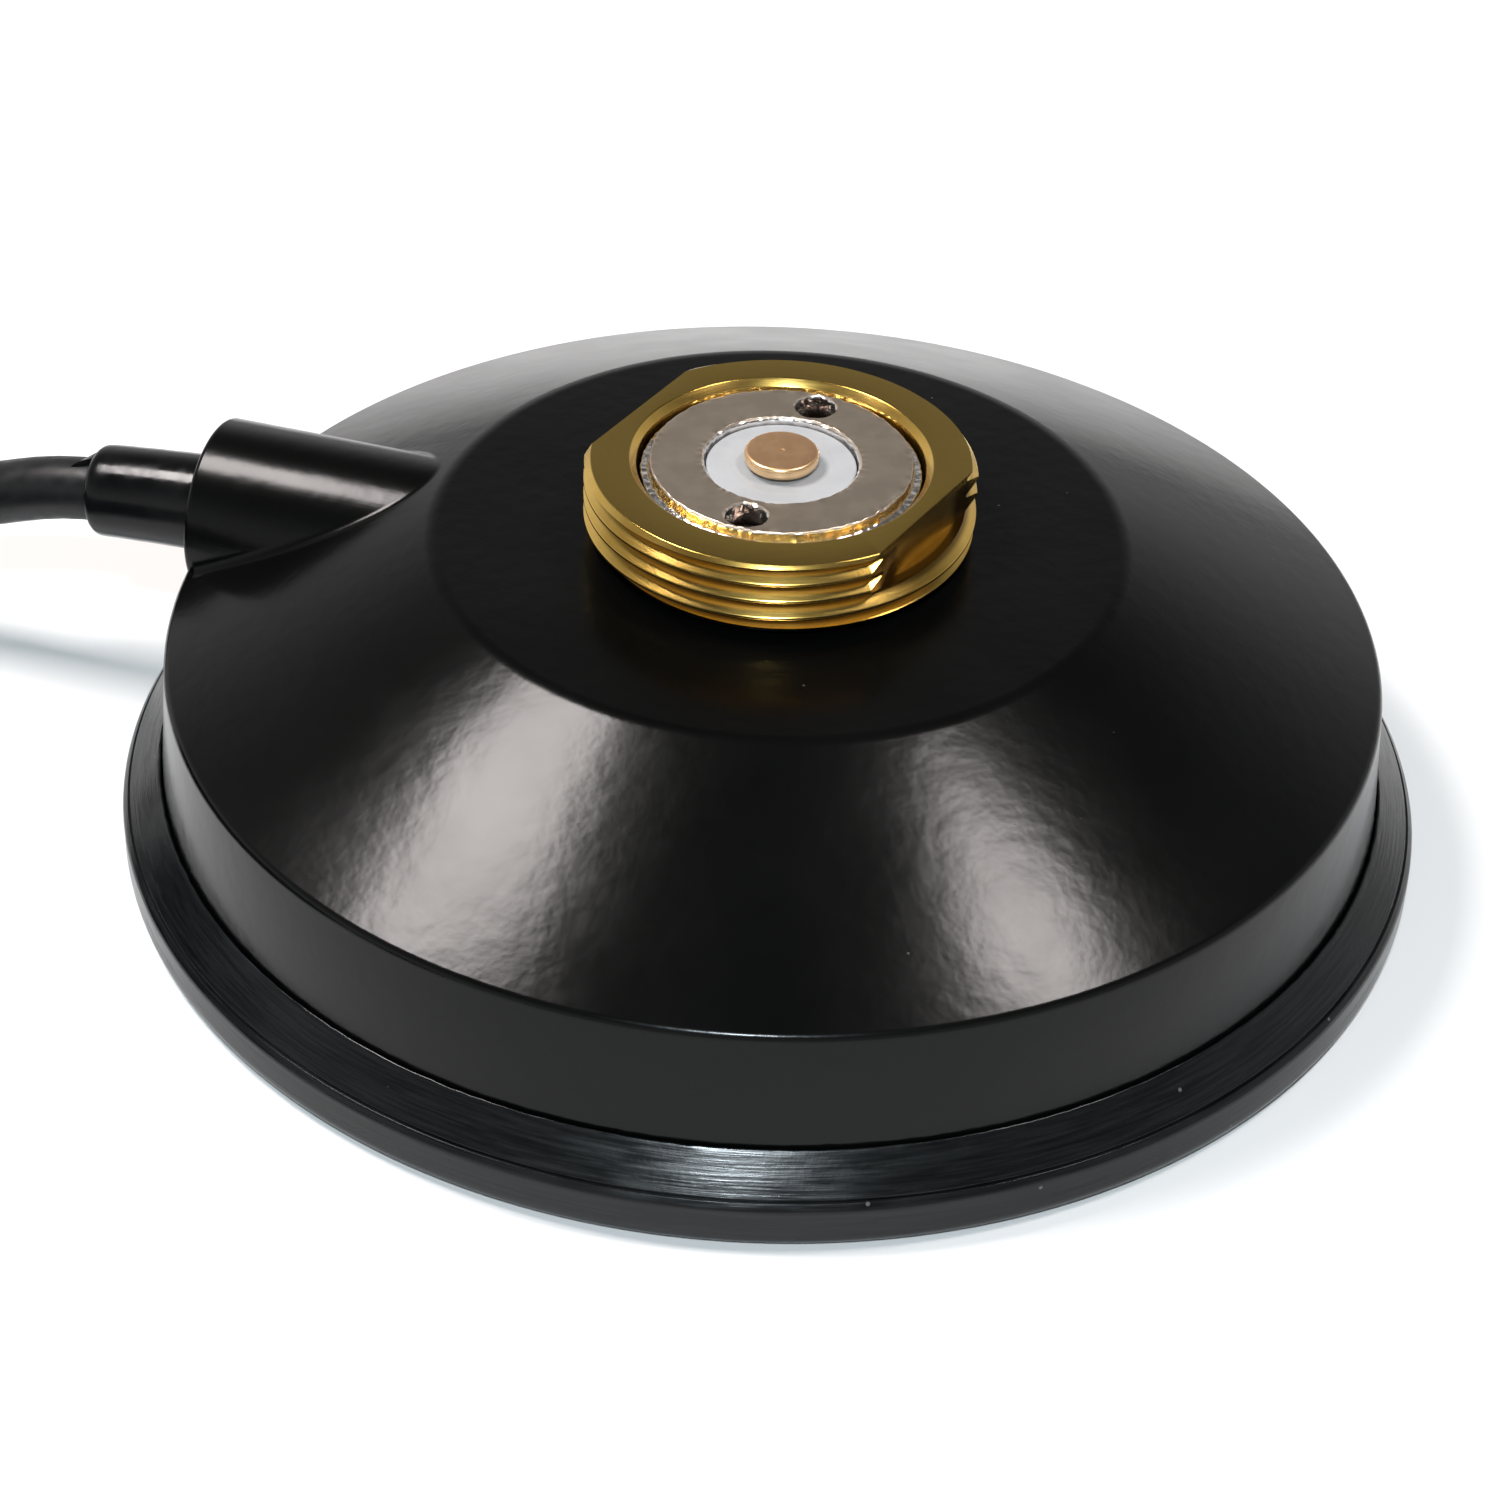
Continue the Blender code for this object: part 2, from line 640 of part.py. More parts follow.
def make_connector_body(cable_axis):
    """The plated body: stepped rim, shank through the housing, flange, cup and side barrel."""
    shoulder = INSULATOR_TOP - INSULATOR_HEIGHT - GAP
    profile = [
        (0.0, CUP_BOTTOM),
        (CUP_R, CUP_BOTTOM, CUP_ROUND),
        (CUP_R, FLANGE_TOP - FLANGE_THICK),
        (FLANGE_R, FLANGE_TOP - FLANGE_THICK),
        (FLANGE_R, FLANGE_TOP),
        (BODY_R, FLANGE_TOP),
        (BODY_R, BODY_TOP - BODY_STEP),
        (BODY_TOP_R, BODY_TOP - BODY_STEP),
        (BODY_TOP_R, BODY_TOP, RIM_ROUND),
        (INSULATOR_R + GAP, BODY_TOP),
        (INSULATOR_R + GAP, shoulder),
        (CHAMBER_R, shoulder),
        (CHAMBER_R, CUP_BOTTOM + CUP_WALL),
        (0.0, CUP_BOTTOM + CUP_WALL),
    ]
    body = turned("connector_body", profile, nickel())
    barrel_profile = rod(BARREL_R, CHAMBER_R + WALL, BARREL_END)
    barrel = turned("barrel_form", barrel_profile, None, CABLE_STEPS, cable_axis)
    boolean(body, barrel, "UNION")
    core_profile = rod(CORE_R + GAP, CHAMBER_R / 2, BARREL_END + WALL)
    core_hole = turned("core_hole", core_profile, None, CABLE_STEPS, cable_axis)
    boolean(body, core_hole, "DIFFERENCE")
    hole = rod(SPANNER_HOLE_R, BODY_TOP - SPANNER_HOLE_DEPTH, BODY_TOP + SPANNER_HOLE_DEPTH)
    for side in (0, 1):
        azimuth = SPANNER_AZIMUTH + side * math.pi
        cutter = turned(f"spanner_hole_{side + 1}", hole, None, CABLE_STEPS)
        cutter.location.x = SPANNER_CIRCLE_R * math.cos(azimuth)
        cutter.location.y = SPANNER_CIRCLE_R * math.sin(azimuth)
        boolean(body, cutter, "DIFFERENCE")


def make_ground_washer():
    """A toothed washer between the body's flange and the housing's underside."""
    washer = tube(BODY_R + GAP, FLANGE_R, WASHER_Z, WASHER_Z + WASHER_THICK)
    bm = turned_mesh(washer, 2 * WASHER_TEETH)
    flute(bm, WASHER_TEETH, TOOTH, FLANGE_R - GAP, 0.0, TOP_Z)
    add_object("ground_washer", bm, zinc_steel())


def make_insulator_and_contact():
    """The white insulator in the body, and the contact's head on it with the stem through it."""
    low = INSULATOR_TOP - INSULATOR_HEIGHT
    neck_r = CHAMBER_R - GAP
    profile = [
        (STEM_R + GAP, low - INSULATOR_NECK),
        (neck_r, low - INSULATOR_NECK),
        (neck_r, low),
        (INSULATOR_R, low),
        (INSULATOR_R, INSULATOR_TOP),
        (STEM_R + GAP, INSULATOR_TOP),
    ]
    turned("insulator", profile, white_resin(), MEDIUM_STEPS)
    contact_top = BODY_TOP + CONTACT_RISE
    head_z = INSULATOR_TOP + GAP
    stem_end = BOSS_Z + WIRE_R + GAP
    profile = [
        (0.0, stem_end),
        (STEM_R, stem_end),
        (STEM_R, head_z),
        (CONTACT_R, head_z),
        (CONTACT_R, contact_top, CONTACT_ROUND),
        (0.0, contact_top),
    ]
    turned("centre_contact", profile, copper(), SMALL_STEPS)


def make_lead_in(cable_axis):
    """The cable's end inside: bared wire, dielectric, jacket and the crimped ferrule."""
    core_end = JACKET_START - GAP
    wire = rod(WIRE_R, -STEM_R, core_end)
    turned("coax_conductor", wire, copper(), WIRE_STEPS, cable_axis)
    dielectric = tube(WIRE_R + GAP, CORE_R, CHAMBER_R + GAP, core_end)
    turned("coax_dielectric", dielectric, white_resin(), CABLE_STEPS, cable_axis)
    jacket = rod(CABLE_R, JACKET_START, LEAD_SPLIT - GAP)
    turned("cable_lead_in", jacket, cable_jacket(), CABLE_STEPS, cable_axis)
    wide = BARREL_R + GAP
    tight = CABLE_R + GAP
    profile = [
        (wide, FLANGE_R + GAP),
        (wide + FERRULE_WALL, FLANGE_R + GAP),
        (wide + FERRULE_WALL, JACKET_START - GAP),
        (tight + FERRULE_WALL, JACKET_START + WALL / 2),
        (tight + FERRULE_WALL, FERRULE_END),
        (tight, FERRULE_END),
        (tight, JACKET_START + GAP),
        (wide, JACKET_START - GAP),
    ]
    turned("crimp_ferrule", profile, nickel(), CABLE_STEPS, cable_axis)


def make_run():
    """The free cable from the boss to the coil, and the strain relief sleeve round its start."""
    direction = Vector((math.cos(BOSS_AZIMUTH), math.sin(BOSS_AZIMUTH), 0.0))
    level = Vector((0.0, 0.0, BOSS_Z))
    starts = [direction * reach + level for reach in (LEAD_SPLIT, BOSS_END - 2 * CABLE_R, BOSS_END)]
    chosen = [Vector(point) * MM for point in RUN_POINTS]
    turn_r = COIL_R - CABLE_R
    reach = math.sqrt(COIL_R**2 - (turn_r - CABLE_R) ** 2) + 2 * GAP
    meet = Vector((COIL_X + reach, COIL_Y + turn_r, COIL_BASE + CABLE_R))
    route = [*starts, *chosen, meet]
    cable("cable_run", route)
    mouth = BOSS_END - LEAD_SPLIT
    tip = mouth + SLEEVE_OUT
    stations = [(GAP - SLEEVE_DEPTH + mouth, SLEEVE_R)]
    for step in range(SLEEVE_STATIONS + 1):
        share = step / SLEEVE_STATIONS
        distance = mouth - CABLE_R + (SLEEVE_OUT + CABLE_R - SLEEVE_ROUND) * share
        stations.append((distance, SLEEVE_R + (SLEEVE_TIP_R - SLEEVE_R) * share))
    for step in range(1, ARC_STEPS + 1):
        angle = math.pi / 2 * step / ARC_STEPS
        distance = tip - SLEEVE_ROUND * (1 - math.sin(angle))
        stations.append((distance, SLEEVE_TIP_R - SLEEVE_ROUND * (1 - math.cos(angle)) * SLEEVE_LIP))
    start = direction * (LEAD_SPLIT + stations[0][0]) + level
    spots = [start, *points_at(smooth_curve(route), [distance for distance, _ in stations[1:]])]
    outers = [radius for _, radius in stations]
    swept_sleeve("strain_relief", spots, outers, CABLE_R + GAP, glossy_sleeve())


def make_coil():
    """The outer form of the stored turns."""
    profile = [
        (COIL_BORE_R, COIL_BASE, COIL_ROUND),
        (COIL_R, COIL_BASE, COIL_ROUND),
        (COIL_R, COIL_BASE + COIL_HEIGHT, COIL_ROUND),
        (COIL_BORE_R, COIL_BASE + COIL_HEIGHT, COIL_ROUND),
    ]
    coil = turned("cable_coil", profile, cable_jacket(), MEDIUM_STEPS)
    coil.location = (COIL_X, COIL_Y, 0.0)


def tie_outline(thick):
    """The rounded outline that stands a thickness off the room left for the coil."""
    low_x = COIL_BORE_R - TIE_SIDE_GAP - thick
    high_x = COIL_R + TIE_SIDE_GAP + thick
    low_z = COIL_BASE - GAP - thick
    high_z = COIL_BASE + COIL_HEIGHT + GAP + thick
    corners = ((low_x, low_z), (high_x, low_z), (high_x, high_z), (low_x, high_z))
    return rounded([(x, z, TIE_ROUND + thick) for x, z in corners])


def make_tie(name, azimuth):
    """A strap round the coil's section with its locking head on the outer side."""
    inside = tie_outline(0.0)
    outside = tie_outline(TIE_THICK)
    bm = bmesh.new()
    loops = []
    for outline, side in ((inside, -1), (inside, 1), (outside, 1), (outside, -1)):
        y = side * TIE_WIDTH / 2
        loops.append([bm.verts.new((point.x, y, point.y)) for point in outline])
    for first, second in zip(loops, loops[1:] + loops[:1]):
        for index in range(len(first)):
            after = (index + 1) % len(first)
            bm.faces.new((first[index], first[after], second[after], second[index]))
    strap = add_object(name, bm, cable_jacket())
    strap.location = (COIL_X, COIL_Y, 0.0)
    strap.rotation_euler = (0.0, 0.0, azimuth)
    head = block(f"{name}_head_form", TIE_HEAD, TIE_HEAD_ROUND, strap)
    head.location.x = COIL_R + TIE_SIDE_GAP + GAP + TIE_HEAD[0] / 2
    head.location.z = COIL_BASE + COIL_HEIGHT / 2
    boolean(strap, head, "UNION")


def make_plug(plug_axis):
    """The plug: adapter on the cable, soldered body, insulator, pin and coupling ring. Heights
    are distances forward from the adapter's back."""
    cable_bore = CABLE_R + GAP
    sleeve = [
        (cable_bore, -PLUG_SLEEVE_LENGTH),
        (PLUG_SLEEVE_R, -PLUG_SLEEVE_LENGTH, PLUG_SLEEVE_ROUND),
        (PLUG_SLEEVE_R, -GAP),
        (cable_bore, -GAP),
    ]
    turned("plug_sleeve", sleeve, glossy_sleeve(), CABLE_STEPS, plug_axis)
    make_adapter(plug_axis, cable_bore)
    make_plug_body(plug_axis)
    insulator = tube(PIN_R + GAP, PLUG_FRONT_BORE_R - GAP, PLUG_WEB_END + GAP, NOSE_END - PLUG_NOTCH)
    turned("plug_insulator", insulator, white_resin(), SMALL_STEPS, plug_axis)
    pin_start = RING_START + GAP
    core = rod(CORE_R, ADAPTER_LENGTH + 2 * GAP, pin_start - GAP)
    turned("plug_core", core, white_resin(), CABLE_STEPS, plug_axis)
    pin_end = RING_END + PIN_REACH
    pin = [
        (0.0, pin_start),
        (PIN_R, pin_start),
        (PIN_R, pin_end, PIN_ROUND),
        (PIN_HOLE_R, pin_end),
        (PIN_HOLE_R, pin_end - 2 * PIN_R),
        (0.0, pin_end - 2 * PIN_R),
    ]
    turned("plug_pin", pin, nickel(), CABLE_STEPS, plug_axis)
    make_coupling_ring(plug_axis)


def make_adapter(plug_axis, bore):
    """The reducing adapter, knurled on its flange and screwed into the plug body."""
    shank_r = PLUG_BORE_R - GAP
    profile = [
        (bore, 0.0),
        (ADAPTER_FLANGE_R - KNURL_DEPTH, 0.0),
        (ADAPTER_FLANGE_R, KNURL_DEPTH),
        (ADAPTER_FLANGE_R, ADAPTER_FLANGE - KNURL_DEPTH),
        (ADAPTER_FLANGE_R - KNURL_DEPTH, ADAPTER_FLANGE),
        (shank_r, ADAPTER_FLANGE),
        (shank_r, ADAPTER_LENGTH),
        (bore, ADAPTER_LENGTH),
    ]
    bm = turned_mesh(profile, KNURLS)
    flute(bm, KNURLS // 2, KNURL_DEPTH, ADAPTER_FLANGE_R - GAP, 0.0, ADAPTER_FLANGE)
    add_object("plug_adapter", bm, nickel(), plug_axis)


def make_plug_body(plug_axis):
    """The plug's body: a barrel with solder holes, the flange that holds the coupling ring, and
    a notched nose."""
    profile = [
        (PLUG_BORE_R, PLUG_BACK),
        (PLUG_BARREL_R, PLUG_BACK),
        (PLUG_BARREL_R, FLANGE_START),
        (PLUG_FLANGE_R, FLANGE_START),
        (PLUG_FLANGE_R, NOSE_START),
        (PLUG_NOSE_R, NOSE_START),
        (PLUG_NOSE_R, NOSE_END),
        (PLUG_FRONT_BORE_R, NOSE_END),
        (PLUG_FRONT_BORE_R, PLUG_WEB_END),
        (PLUG_WEB_R, PLUG_WEB_END),
        (PLUG_WEB_R, PLUG_WEB_START),
        (PLUG_BORE_R, PLUG_WEB_START),
    ]
    body = turned("plug_body", profile, nickel(), SMALL_STEPS, plug_axis)
    for side in (0, 1):
        across = rod(SOLDER_HOLE_R, -RING_R, RING_R)
        drill = turned(f"solder_drill_{side + 1}", across, None, CABLE_STEPS, plug_axis)
        drill.location.z = (ADAPTER_LENGTH + RING_START) / 2
        drill.rotation_euler = (math.pi / 2, 0.0, math.pi / 4 + side * math.pi / 2)
        boolean(body, drill, "DIFFERENCE")
    for side in range(PLUG_NOTCHES // 2):
        size = (3 * RING_R, 2 * PLUG_NOTCH, 2 * PLUG_NOTCH)
        notch = block(f"nose_notch_{side + 1}", size, 0.0, plug_axis)
        notch.location.z = NOSE_END
        notch.rotation_euler.z = side * math.tau / PLUG_NOTCHES
        boolean(body, notch, "DIFFERENCE")


def make_coupling_ring(plug_axis):
    """The knurled ring that turns on the plug's body, held by its lip behind the flange."""
    lip_r = PLUG_BARREL_R + GAP
    lip_end = RING_START + RING_LIP
    edge = 2 * KNURL_DEPTH
    profile = [
        (lip_r, RING_START),
        (RING_R - edge, RING_START),
        (RING_R, RING_START + edge),
        (RING_R, RING_START + 2 * edge),
        (RING_R, RING_END - 2 * edge),
        (RING_R, RING_END - edge),
        (RING_R - edge / 2, RING_END),
        (RING_BORE_R, RING_END),
        (RING_BORE_R, lip_end),
        (lip_r, lip_end),
    ]
    bm = turned_mesh(profile, 2 * KNURLS)
    margin = 1.5 * edge
    flute(bm, KNURLS, KNURL_DEPTH, RING_R - GAP, RING_START + margin, RING_END - margin)
    add_object("coupling_ring", bm, nickel(), plug_axis)


def make_cable_end():
    """The cable from the coil to the plug, ending inside the adapter."""
    chosen = [Vector(point) * MM for point in END_POINTS]
    straight = [
        Vector((PLUG_X + along, PLUG_Y, PLUG_Z))
        for along in (-PLUG_SLEEVE_LENGTH, -PLUG_SLEEVE_LENGTH / 2, 0.0, ADAPTER_LENGTH)
    ]
    cable("cable_end", [*chosen, *straight])


def main():
    clear_scene()
    outward = Vector((math.cos(BOSS_AZIMUTH), math.sin(BOSS_AZIMUTH), 0.0))
    cable_axis = axis_empty("cable_axis", (0.0, 0.0, BOSS_Z), outward)
    plug_axis = axis_empty("plug_axis", (PLUG_X, PLUG_Y, PLUG_Z), Vector((1.0, 0.0, 0.0)))
    make_housing(cable_axis)
    make_boot()
    make_magnet()
    make_ring_nut()
    make_connector_body(cable_axis)
    make_ground_washer()
    make_insulator_and_contact()
    make_lead_in(cable_axis)
    make_run()
    make_coil()
    for number, azimuth in enumerate(TIE_AZIMUTHS, start=1):
        make_tie(f"cable_tie_{number}", azimuth)
    make_plug(plug_axis)
    make_cable_end()
    bpy.context.view_layer.update()


main()
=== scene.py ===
"""How the magnetic antenna mount looks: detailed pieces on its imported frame, procedural
materials, a pale floor, soft studio light and the camera."""
from bisect import bisect_right
from itertools import accumulate
import math

import bmesh
import bpy
from mathutils import Matrix, Vector, noise


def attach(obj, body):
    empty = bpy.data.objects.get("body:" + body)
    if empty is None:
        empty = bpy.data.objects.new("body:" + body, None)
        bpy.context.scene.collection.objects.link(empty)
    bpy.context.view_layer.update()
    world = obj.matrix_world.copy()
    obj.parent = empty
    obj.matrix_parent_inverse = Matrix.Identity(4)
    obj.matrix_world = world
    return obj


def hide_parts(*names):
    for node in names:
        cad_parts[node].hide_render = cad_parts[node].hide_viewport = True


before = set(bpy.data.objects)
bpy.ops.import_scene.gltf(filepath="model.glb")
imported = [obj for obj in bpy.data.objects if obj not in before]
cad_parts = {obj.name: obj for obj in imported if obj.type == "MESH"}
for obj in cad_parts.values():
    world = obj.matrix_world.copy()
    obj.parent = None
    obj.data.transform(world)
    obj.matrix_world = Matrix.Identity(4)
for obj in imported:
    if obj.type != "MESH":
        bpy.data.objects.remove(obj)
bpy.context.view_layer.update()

MM = 0.001
UP = Vector((0.0, 0.0, 1.0))

# Camera: its distance from the middle of the flat top, and where that lies in its view
VIEW_DISTANCE = 279.6 * MM
VIEW_ELEVATION = math.radians(37.08)
VIEW_ROLL = math.radians(2.09)
VIEW_RIGHT = 1.51 * MM
VIEW_UP = 16.07 * MM
FOCAL_LENGTH = 91.69
SENSOR = 36.0
CLIP_START = 10 * MM
CLIP_END = 20.0

# Housing, as in the frame
TOP_Z = 25.0 * MM
TOP_R = 25.4 * MM
SHOULDER_R = 45.2 * MM
SHOULDER_DROP = 9.55 * MM
SKIRT_R = 46.1 * MM
RIM_Z = 2.1 * MM
WALL = 2.2 * MM
TOP_WALL = 2.5 * MM
SHOULDER_Z = TOP_Z - SHOULDER_DROP
SLOPE = SHOULDER_DROP / (SHOULDER_R - TOP_R)
TOP_ROUND = 2.6 * MM
SHOULDER_ROUND = 0.8 * MM
RIM_ROUND = 0.3 * MM
BOSS_AZIMUTH = math.radians(164.5)
BOSS_R = 6.8 * MM
BOSS_Z = 17.6 * MM
BOSS_START = 26.0 * MM
BOSS_END = 44.7 * MM
BOSS_ROUND = 0.45 * MM
FILLET_R = 1.0 * MM
OUTWARD = Vector((math.cos(BOSS_AZIMUTH), math.sin(BOSS_AZIMUTH), 0.0))

# Rubber boot
BOOT_R = 49.0 * MM
BOOT_FLOOR = 1.8 * MM
BOOT_EDGE_Z = 3.4 * MM
BOOT_ROUND = 1.2 * MM
LIP_Z = 6.6 * MM
LIP_GAP = 0.13 * MM
BAND_R = 48.38 * MM  # where the sloping band ends in a moulding line
BAND_LINE = 0.1 * MM
BOOT_SLACK = 0.04 * MM  # leaves room for its uneven surface
LINE_DEPTH = 0.006 * MM
SWELL = 0.02 * MM
LIP_ROUND = 0.12 * MM
LIP_BAND = 0.35 * MM  # how far out and down the lip is ragged
LIP_BAND_DEPTH = 0.6 * MM
LIP_RAG = 0.05 * MM

# Threaded ring
NUT_Z = 26.1 * MM
NUT_TOP = 31.4 * MM
THREAD_R = 14.29 * MM
THREAD_PITCH = 1.411 * MM
THREAD_DEPTH = 0.8 * MM
THREAD_PHASE = -0.04
THREAD_ROWS = (  # shares of the pitch and of the depth
    (0.0, 0.0), (0.11, 0.0), (0.16, 0.08), (0.44, 0.9),
    (0.5, 1.0), (0.62, 1.0), (0.68, 0.9), (0.95, 0.08),
)
NUT_BORE_R = 10.5 * MM
NUT_CHAMFER = 0.5 * MM
FLAT_DISTANCE = 12.21 * MM
FLAT_AZIMUTH = math.radians(148.4)
LEDGE_Z = 28.2 * MM

# Connector body, insulator and contact
BODY_R = 10.2 * MM
BODY_TOP_R = 9.52 * MM
BODY_TOP = 31.26 * MM
BODY_STEP = 0.8 * MM
FLANGE_R = 13.5 * MM
FLANGE_TOP = 20.9 * MM
FLANGE_THICK = 1.5 * MM
CUP_R = 11.0 * MM
CUP_BOTTOM = 13.6 * MM
CUP_WALL = 2.0 * MM
CHAMBER_R = 4.0 * MM
BARREL_R = 3.0 * MM
BARREL_END = 19.0 * MM
CORE_HOLE_R = 1.775 * MM
RIM_WIDTH = 0.3 * MM  # how far the plating's ragged rims reach
RIM_ROUGH = 0.07 * MM
RIM_DEPTH = 1.2 * MM
STEP_FLARE = 0.18 * MM
HOLE_CHAMFER = 0.2 * MM
SPANNER_HOLE_R = 1.5 * MM
SPANNER_HOLE_DEPTH = 2.4 * MM
SPANNER_WEAR = 0.15 * MM
SPANNER_SWELL = 0.07
SPANNER_CIRCLE_R = 7.75 * MM
SPANNER_AZIMUTH = math.radians(72.0)
INSULATOR_R = 5.48 * MM
INSULATOR_TOP = 30.8 * MM
INSULATOR_HEIGHT = 6.4 * MM
INSULATOR_NECK = 3.2 * MM
CONTACT_R = 2.72 * MM
CONTACT_TOP = 32.04 * MM
CONTACT_ROUND = 0.35 * MM
STEM_R = 1.0 * MM
STEM_END = 18.35 * MM

# Cable and its strain relief sleeve
CABLE_R = 2.475 * MM
CABLE_SPACING = 2 * MM
CABLE_BEVEL = 6
LEAD_SPLIT = 38.0 * MM
SLEEVE_R = 3.75 * MM
SLEEVE_TIP_R = 3.55 * MM
SLEEVE_OUT = 9.8 * MM
SLEEVE_DEPTH = 8.0 * MM
SLEEVE_ROUND = 0.7 * MM
SLEEVE_SPACING = 0.5 * MM
SLEEVE_LIP = 0.9
GAP = 0.3 * MM

# Coil: spiral rows of turns, one on the other, with a rise between two rows
COIL_X = -116.0 * MM
COIL_Y = -16.0 * MM
COIL_Z = 3.975 * MM
INNER_TURN_R = 20.6 * MM
OUTER_TURN_R = 40.8 * MM
ROW_HEIGHT = 4.97 * MM
ROW_TURNS = 4.0
LAST_ROW_TURNS = 3.58333
INNER_RISE = 0.25
OUTER_RISE = 0.16667
TURN_POINTS = 72
TIE_AZIMUTHS = (math.radians(-20.0), math.radians(140.0))
TIE_THICK = 1.2 * MM
TIE_WIDTH = 4.8 * MM
TIE_SIDE_GAP = 0.45 * MM
TIE_ROUND = 2.4 * MM
TIE_RIM = 0.25 * MM
TIE_GROOVE = 0.82  # share of the thickness left under the groove
TIE_HEAD = (5.5 * MM, 7.0 * MM, 8.0 * MM)
TIE_HEAD_ROUND = 0.7 * MM
TIE_SLOT = (1.9 * MM, 5.1 * MM, 16.0 * MM)
TIE_SLOT_SHIFT = 0.6 * MM
TIE_TAIL = (1.1 * MM, 4.6 * MM, 11.2 * MM)
TIE_TAIL_LIFT = 0.9 * MM
TIE_BRIDGE = (1.9 * MM, 1.6 * MM, 1.4 * MM)
TIE_BRIDGE_SHIFT = 0.5 * MM
COIL_TOP = 21.6 * MM
COIL_R = 43.275 * MM
COIL_BORE_R = 18.125 * MM

# Plug, along +X
PLUG_X = -114.0 * MM
PLUG_Y = -72.0 * MM
PLUG_Z = 9.4 * MM
RING_R = 9.1 * MM
RING_BORE_R = 7.95 * MM
RING_START = 17.0 * MM
RING_END = 37.5 * MM
RING_LIP = 4.7 * MM
KNURLS = 32
KNURL_DEPTH = 0.4 * MM
PLUG_BARREL_R = 6.2 * MM
PLUG_BORE_R = 5.3 * MM
PLUG_BACK = 3.8 * MM
PLUG_FLANGE_R = 7.6 * MM
PLUG_FLANGE = 3.0 * MM
WEB_START = 12.6 * MM
WEB_BORE_R = 3.6 * MM
NOSE_R = 7.0 * MM
NOSE_BORE_R = 5.6 * MM
NOSE_END = 29.0 * MM
NOSE_NOTCH = 1.8 * MM
SOLDER_HOLE_R = 1.5 * MM
SOLDER_HOLE_AT = 14.5 * MM
RING_EDGE = 0.8 * MM
RING_MOUTH_R = 6.5 * MM
RING_PITCH = 1.058 * MM
RING_THREAD = 10.2 * MM
RING_THREAD_DEPTH = 0.5 * MM
RING_CREST = 0.35 * MM
RING_ROWS = ((0.0, 0.0), (0.12, 0.0), (0.5, 1.0), (0.62, 1.0))
ADAPTER_FLANGE_R = 6.0 * MM
ADAPTER_FLANGE = 3.5 * MM
ADAPTER_R = 5.0 * MM
ADAPTER_LENGTH = 12.0 * MM
FLUTES = 24
FLUTE_DEPTH = 0.35 * MM
FLUTE_MARGIN = 0.4 * MM
WHITE_R = 5.4 * MM
WHITE_BORE_R = 2.1 * MM
WHITE_SINK = 0.9 * MM
PIN_R = 1.98 * MM
PIN_BORE_R = 1.1 * MM
PIN_OUT = 0.7 * MM
PIN_BORE_DEPTH = 4.0 * MM

# Making the pieces
CURVE_STEPS = 16
ARC_STEPS = 8
EDGE_SHARE = 0.48  # the most of an edge that a rounding takes up
BISECTIONS = 30
SHARP_ANGLE = 30.0
FLUTE_SHAPE = 0.7
HOUSING_STEPS = 288
BOOT_STEPS = 360
NUT_STEPS = 200
FINE_STEPS = 320
ADAPTER_STEPS = 256
MEDIUM_STEPS = 160
CONTACT_STEPS = 128
SMALL_STEPS = 96
HOLE_STEPS = 64
DRILL_STEPS = 48
WELD = 0.002 * MM
FLAT_STRETCH = 30 * MM
BORE_GAP = 0.12 * MM
FILLET_STEPS = 70
FILLET_ARC = 6
FILLET_REACH = math.radians(112.0)
FILLET_SINK = 0.25 * MM
NICK_AZIMUTH = math.radians(212.5)
NICK_WIDTH = math.radians(0.5)
NICK_DEPTH = 0.18 * MM
FLOOR_DROP = 0.05 * MM
FLOOR_SIZE = 4.0

# Light
WARM = (1.0, 0.94, 0.92)
COOL = (0.82, 0.93, 1.0)
WORLD_LOW = 0.8  # brightness near the horizon
WORLD_HIGH = 0.07  # overhead
WORLD_START = 0.15  # sines of the elevations between which it falls off
WORLD_END = 0.74
WORLD_LEFT = 1.0  # shares of it to the left and to the right
WORLD_RIGHT = 0.72

# The cable's way in the open, in the frame's own points
RUN_POINTS = (
    (-54.0, 14.9, 16.7), (-60.0, 16.5, 15.1), (-67.0, 18.5, 12.2), (-75.0, 20.7, 8.5),
    (-83.0, 22.8, 5.7), (-90.0, 24.3, 4.4), (-95.3, 24.8, 3.975), (-103.0, 24.8, 3.975),
)
END_POINTS = (
    (-155.9, -39.2, 16.0), (-155.6, -49.0, 14.2), (-152.2, -58.6, 12.3),
    (-146.0, -66.0, 10.8), (-137.6, -70.8, 9.8), (-128.0, -72.0, 9.4),
    (-121.0, -72.0, 9.4), (-114.0, -72.0, 9.4), (-102.0, -72.0, 9.4),
)


def add(name, data):
    """A new object, linked to the scene."""
    made = bpy.data.objects.new(name, data)
    bpy.context.scene.collection.objects.link(made)
    return made


def shown_mesh(form):
    """The mesh that an object shows, with its modifiers or bevel worked in."""
    bpy.context.view_layer.update()
    seen = form.evaluated_get(bpy.context.evaluated_depsgraph_get())
    return bpy.data.meshes.new_from_object(seen)


